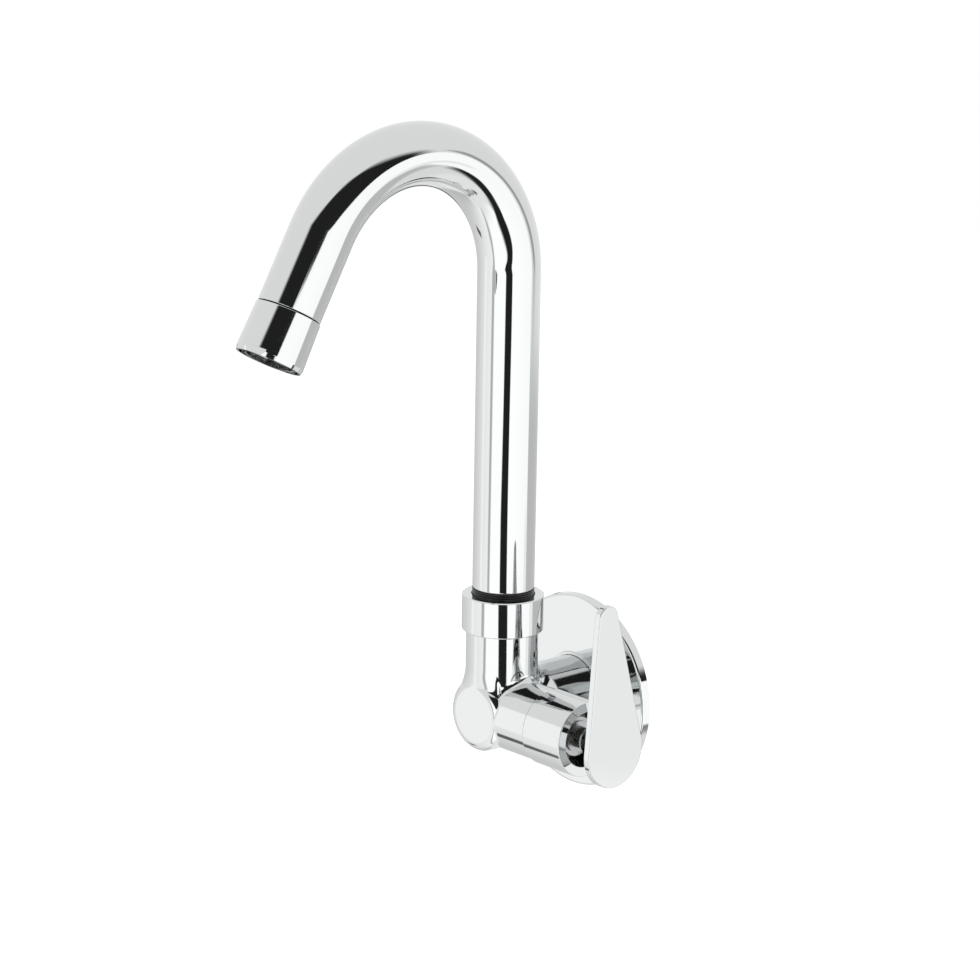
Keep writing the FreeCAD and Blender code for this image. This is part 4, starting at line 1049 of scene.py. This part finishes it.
@dataclass(frozen=True)
class Card:
    """A studio card that only reflections see, on a sphere round the tap.

    Each row of its outline gives an elevation, the azimuths of its left and right edge there and how wide
    they fade, in degrees, with the azimuth counted from the camera, positive to the camera's right. The
    edges run smoothly from row to row, along the middle of the fade. Its radiance changes from its left
    edge to its right.
    """
    name: str
    rows: tuple[tuple[float, float, float, float], ...]
    radiance: tuple[float, float]
    end_fades: tuple[float, float]
    distance: float
    grid: int = 97

    def build(self, studio: "Studio") -> None:
        """A piece of the sphere. Its UV maps hold how far each corner lies from the four edges, in fades."""
        level, left, right, fade = np.array(self.rows).T
        low, high = level[0] - self.end_fades[0] / 2, level[-1] + self.end_fades[1] / 2
        share, height = np.meshgrid(np.linspace(0, 1, self.grid), np.linspace(low, high, self.grid))
        left, right, fade = (smooth_line(level, row, height) for row in (left, right, fade))
        left, right = left - fade / 2, right + fade / 2
        azimuth, elevation = np.radians(left + share * (right - left)), np.radians(height)
        level_way = np.cos(azimuth)[..., None] * studio.towards + np.sin(azimuth)[..., None] * studio.right
        points = studio.centre + self.distance * (np.cos(elevation)[..., None] * level_way
                                                  + np.sin(elevation)[..., None] * Z)
        rows, columns = share.shape
        number = np.arange(rows * columns).reshape(rows, columns)
        faces = np.stack([number[:-1, :-1], number[:-1, 1:], number[1:, 1:], number[1:, :-1]],
                         axis=-1).reshape(-1, 4)
        mesh = bpy.data.meshes.new(self.name)
        mesh.from_pydata(points.reshape(-1, 3).tolist(), [], faces.tolist())
        width = right - left
        from_edges = {"sides": (share * width / fade, (1 - share) * width / fade),
                      "ends": ((height - low) / self.end_fades[0], (high - height) / self.end_fades[1]),
                      "share": (share, share)}
        for name, values in from_edges.items():
            layer = mesh.uv_layers.new(name=name)
            layer.uv.foreach_set("vector", np.stack(values, axis=-1).reshape(-1, 2)[faces.ravel()].ravel())
        mesh.materials.append(self.material())
        card = place_object(self.name, mesh)
        for ray in ("camera", "diffuse", "transmission", "volume_scatter", "shadow"):
            setattr(card, f"visible_{ray}", False)

    @staticmethod
    def uv_parts(tree: Tree, layer: str) -> Node:
        """A node that gives the two values of a UV map."""
        return add_node(tree, "SeparateXYZ", links={0: add_node(tree, "UVMap", {"uv_map": layer}).outputs[0]})

    def material(self) -> Material:
        """Light that fades out over each edge: the product of four smooth steps."""
        material = bpy.data.materials.new(self.name)
        tree = empty_nodes(material)
        cover: Socket | None = None
        for layer in ("sides", "ends"):
            place = self.uv_parts(tree, layer)
            for side in ("X", "Y"):
                step = add_node(tree, "MapRange", {"interpolation_type": "SMOOTHSTEP"},
                                {"Value": place.outputs[side]}).outputs["Result"]
                cover = step if cover is None else add_node(
                    tree, "Math", {"operation": "MULTIPLY"}, {0: cover, 1: step}).outputs[0]
        slope = add_node(tree, "MapRange", {"interpolation_type": "SMOOTHSTEP", "To Min": self.radiance[0],
                                            "To Max": self.radiance[1]},
                         {"Value": self.uv_parts(tree, "share").outputs["X"]})
        light = add_node(tree, "Emission", links={"Strength": slope.outputs["Result"]})
        clear = add_node(tree, "BsdfTransparent")
        mix = add_node(tree, "MixShader", links={0: cover, 1: clear.outputs[0], 2: light.outputs[0]})
        add_node(tree, "OutputMaterial", links={"Surface": mix.outputs[0]})
        return material


@dataclass
class Studio:
    """Camera, floor, lamps and cards. The view is the photograph's, in its own pixels."""
    azimuth: float = 47.66
    elevation: float = 14.39
    roll: float = 0.99
    distance: float = 1342.7
    pixels_per_mm: float = 2.61
    target: tuple[float, float, float] = (0.0, -45.0, 110.0)
    target_pixel: tuple[float, float] = (502.61, 436.16)
    frame_pixels: float = 980.0
    sensor: float = 36.0
    floor_height: float = -450.0
    floor_half: float = 8.0
    floor_colour: str = "#F4F4F4"
    floor_glow: float = 0.5
    plain_light: float = 0.55
    lamp_size: float = 1.4
    lamp_distance: float = 2.0
    towards: Array = field(init=False)
    right: Array = field(init=False)
    centre: Array = field(init=False)

    def __post_init__(self) -> None:
        """Level directions towards the camera and to its right, and the middle of the studio."""
        turn = math.radians(self.azimuth)
        self.towards = np.array([math.sin(turn), -math.cos(turn), 0.0])
        self.right = np.array([math.cos(turn), math.sin(turn), 0.0])
        self.centre = np.array(self.target) * MM

    def build_camera(self) -> None:
        """A camera that puts the target point on its pixel, at the photograph's scale."""
        rise, roll = math.radians(self.elevation), math.radians(self.roll)
        back = math.cos(rise) * self.towards + math.sin(rise) * Z
        up = np.cross(back, self.right)
        right = math.cos(roll) * self.right + math.sin(roll) * up
        up = math.cos(roll) * up - math.sin(roll) * self.right
        focal = self.pixels_per_mm * self.distance
        middle = self.frame_pixels / 2
        aside = (self.target_pixel[0] - middle) / focal
        below = (self.target_pixel[1] - middle) / focal
        place = np.array(self.target) - self.distance * (-back + aside * right - below * up)
        data = bpy.data.cameras.new("camera")
        data.sensor_width = self.sensor
        data.lens = focal / self.frame_pixels * self.sensor
        data.clip_start, data.clip_end = 0.05, 60.0
        camera = place_object("camera", data)
        matrix = np.eye(4)
        matrix[:3, 0], matrix[:3, 1], matrix[:3, 2], matrix[:3, 3] = right, up, back, place * MM
        camera.matrix_world = Matrix(matrix.tolist())
        bpy.context.scene.camera = camera

    def build_floor(self) -> None:
        """A plain pale floor. Metal sees the white world and the cards instead of it."""
        mesh = bpy.data.meshes.new("floor")
        height, size = self.floor_height * MM, self.floor_half
        corners = [(-size, -size, height), (size, -size, height), (size, size, height), (-size, size, height)]
        mesh.from_pydata(corners, [], [(0, 1, 2, 3)])
        material = bpy.data.materials.new("white_paper_floor")
        tree = empty_nodes(material)
        paper = add_node(tree, "BsdfDiffuse", {"Color": linear(self.floor_colour)})
        glow = add_node(tree, "Emission", {"Strength": self.floor_glow})
        both = add_node(tree, "AddShader", links={0: paper.outputs[0], 1: glow.outputs[0]})
        seen = add_node(tree, "LightPath").outputs["Is Camera Ray"]
        mix = add_node(tree, "MixShader", links={0: seen, 1: paper.outputs[0], 2: both.outputs[0]})
        add_node(tree, "OutputMaterial", links={"Surface": mix.outputs[0]})
        mesh.materials.append(material)
        floor = place_object("floor", mesh)
        floor.visible_glossy = False

    def build_world(self) -> None:
        """White to the camera, to metal and through glass; a plain level of light to the rest."""
        world = bpy.data.worlds.new("studio")
        bpy.context.scene.world = world
        tree = empty_nodes(world)
        path = add_node(tree, "LightPath")
        direct = add_node(tree, "Math", {"operation": "MAXIMUM"},
                          {0: path.outputs["Is Camera Ray"], 1: path.outputs["Is Glossy Ray"]})
        seen = add_node(tree, "Math", {"operation": "MAXIMUM"},
                        {0: direct.outputs[0], 1: path.outputs["Is Transmission Ray"]})
        white = add_node(tree, "Background", {"Strength": 1.0})
        soft = add_node(tree, "Background", {"Strength": self.plain_light})
        white.inputs["Color"].default_value = soft.inputs["Color"].default_value = (1, 1, 1, 1)
        mix = add_node(tree, "MixShader", links={0: seen.outputs[0], 1: soft.outputs[0], 2: white.outputs[0]})
        add_node(tree, "OutputWorld", links={"Surface": mix.outputs[0]})

    def build_lamp(self, name: str, azimuth: float, elevation: float, power: float) -> None:
        """A soft lamp that metal doesn't see, aimed at the tap.

        Args:
            name: the lamp's name.
            azimuth: degrees from the camera, positive to its right.
            elevation: degrees above the horizon.
            power: watts.
        """
        turn, rise = math.radians(azimuth), math.radians(elevation)
        level = math.cos(turn) * self.towards + math.sin(turn) * self.right
        away = math.cos(rise) * level + math.sin(rise) * Z
        data = bpy.data.lights.new(name, "AREA")
        data.size, data.energy = self.lamp_size, power
        lamp = place_object(name, data)
        lamp.location = (self.centre + self.lamp_distance * away).tolist()
        lamp.rotation_euler = Vector(away.tolist()).to_track_quat("Z", "Y").to_euler()
        lamp.visible_glossy = False

    def build(self, cards: Sequence[Card]) -> None:
        """The whole studio."""
        self.build_camera()
        self.build_floor()
        self.build_world()
        self.build_lamp("key_lamp", azimuth=-40, elevation=50, power=22)
        self.build_lamp("fill_lamp", azimuth=60, elevation=30, power=12)
        for card in cards:
            card.build(self)
        bpy.context.scene.view_settings.view_transform = "Standard"


def upright(low: float, high: float, left: float, right: float, fade: float) -> tuple[tuple[float, ...], ...]:
    """Outline rows of a card with straight sides."""
    return (low, left, right, fade), (high, left, right, fade)


CARDS = (
    Card("lever_panel", upright(-21, -15.2, 80, 92, 1.5), (1.2, 1.2), (1.5, 1.0), 3.5),
    Card("key_softbox",
         ((-41, 46, 54, 8), (-39, 38, 63, 6), (-36, 34, 71, 6), (-33, 31.5, 79, 6), (-30, 29, 84, 5),
          (-25, 24, 88, 4), (-21, 18, 88, 3), (-19, 15.5, 89, 2.5), (-17.2, 12.5, 89, 2), (-15.8, 11, 90, 2),
          (-13, 11.5, 91, 1.5), (-11, 13, 92, 2), (-5, 8, 92, 3), (0, 5, 91, 3), (5, 6, 87, 4), (8, 8, 80, 4),
          (10, 9, 73, 4), (12, 10, 62, 3), (14, 11, 53, 3), (16, 12, 45, 3), (17.4, 12.5, 36, 3),
          (18.6, 13, 29, 3), (20, 13.5, 23, 3), (21.5, 14, 18, 3), (23, 14, 15, 3)),
         (1.5, 1.42), (4.0, 1.5), 3.6),
    Card("right_edge_line", ((-10, 100, 111, 5), (-5, 99, 110, 4), (5, 90, 100, 4), (12, 86, 93, 4)),
         (0.45, 0.45), (6.0, 4.0), 3.7),
    Card("black_surround",
         ((-56, 30, 45, 20), (-52, 12, 66, 18), (-48, 5, 76, 16), (-45, 3, 80, 14), (-40, 1, 85, 12),
          (-35, 0, 87, 11), (-30, 0, 84, 8), (-25, -1.5, 84, 7), (-21, -6, 84, 5), (-19, -10.5, 80, 3.5),
          (-17.2, -13, 78, 2.5), (-15.8, -15, 76, 4), (-13, -12, 76, 2.5), (-11, -11, 78, 3), (0, -15, 80, 4),
          (10, -20, 81, 8), (15, -30, 81, 8), (25, -52, 75, 10), (35, -47, 66, 13), (40, -38, 61, 15),
          (45, -27, 54, 15), (50, -12, 42, 15), (54, 6, 25, 14)),
         (0.02, 0.02), (9.0, 6.0), 3.8),
    Card("right_low_panel", ((-31, 89, 178, 8), (-12, 90, 178, 8)), (0.7, 0.7), (5.0, 3.0), 3.9),
    Card("left_softbox", ((-66, -42, 30, 8), (-56, -47, 25, 7), (-48, -50, 20, 6), (17, -51, 20, 5)),
         (1.48, 1.48), (24.0, 4.0), 3.95),
    Card("wall_shade", upright(-26, -6, 168, 192, 6), (0.12, 0.12), (4.0, 4.0), 3.85),
    Card("left_edge_line", ((-78, -44, -34, 6), (-70, -55, -45, 5), (-60, -61, -51, 4), (-50, -63, -53, 4),
                            (-35, -61, -53, 4), (-25, -60, -52, 4), (-15, -63, -54, 3), (2, -63, -54, 3)),
         (0.62, 0.62), (8.0, 4.0), 4.1),
    Card("left_panel", upright(-24, 22, -99, -88, 6), (1.28, 1.28), (6.0, 4.0), 4.13),
    Card("left_screen_frame", upright(-43, -37, -124, -106, 6), (0.15, 0.15), (1.5, 1.5), 4.15),
    Card("left_screen", upright(-80, -3, -178, -58, 4), (0.7, 1.26), (6.0, 4.0), 4.2),
    Card("floor_card", upright(-88, -50, -179, 179, 1), (1.12, 1.12), (2.0, 10.0), 4.5),
)


def main() -> None:
    """Builds the tap piece by piece, then the studio."""
    logging.basicConfig(level=logging.INFO, format="%(name)s: %(message)s")
    WallFlange().build()
    BodyCasting().build()
    CollarNut().build()
    GlideRing().build()
    spout = SpoutTube()
    spout.build()
    AeratorHousing().build(spout.outlet())
    CoverSleeve().build()
    Lever().build()
    dress_frame()
    Studio().build(CARDS)
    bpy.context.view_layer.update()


if __name__ == "__main__":
    main()
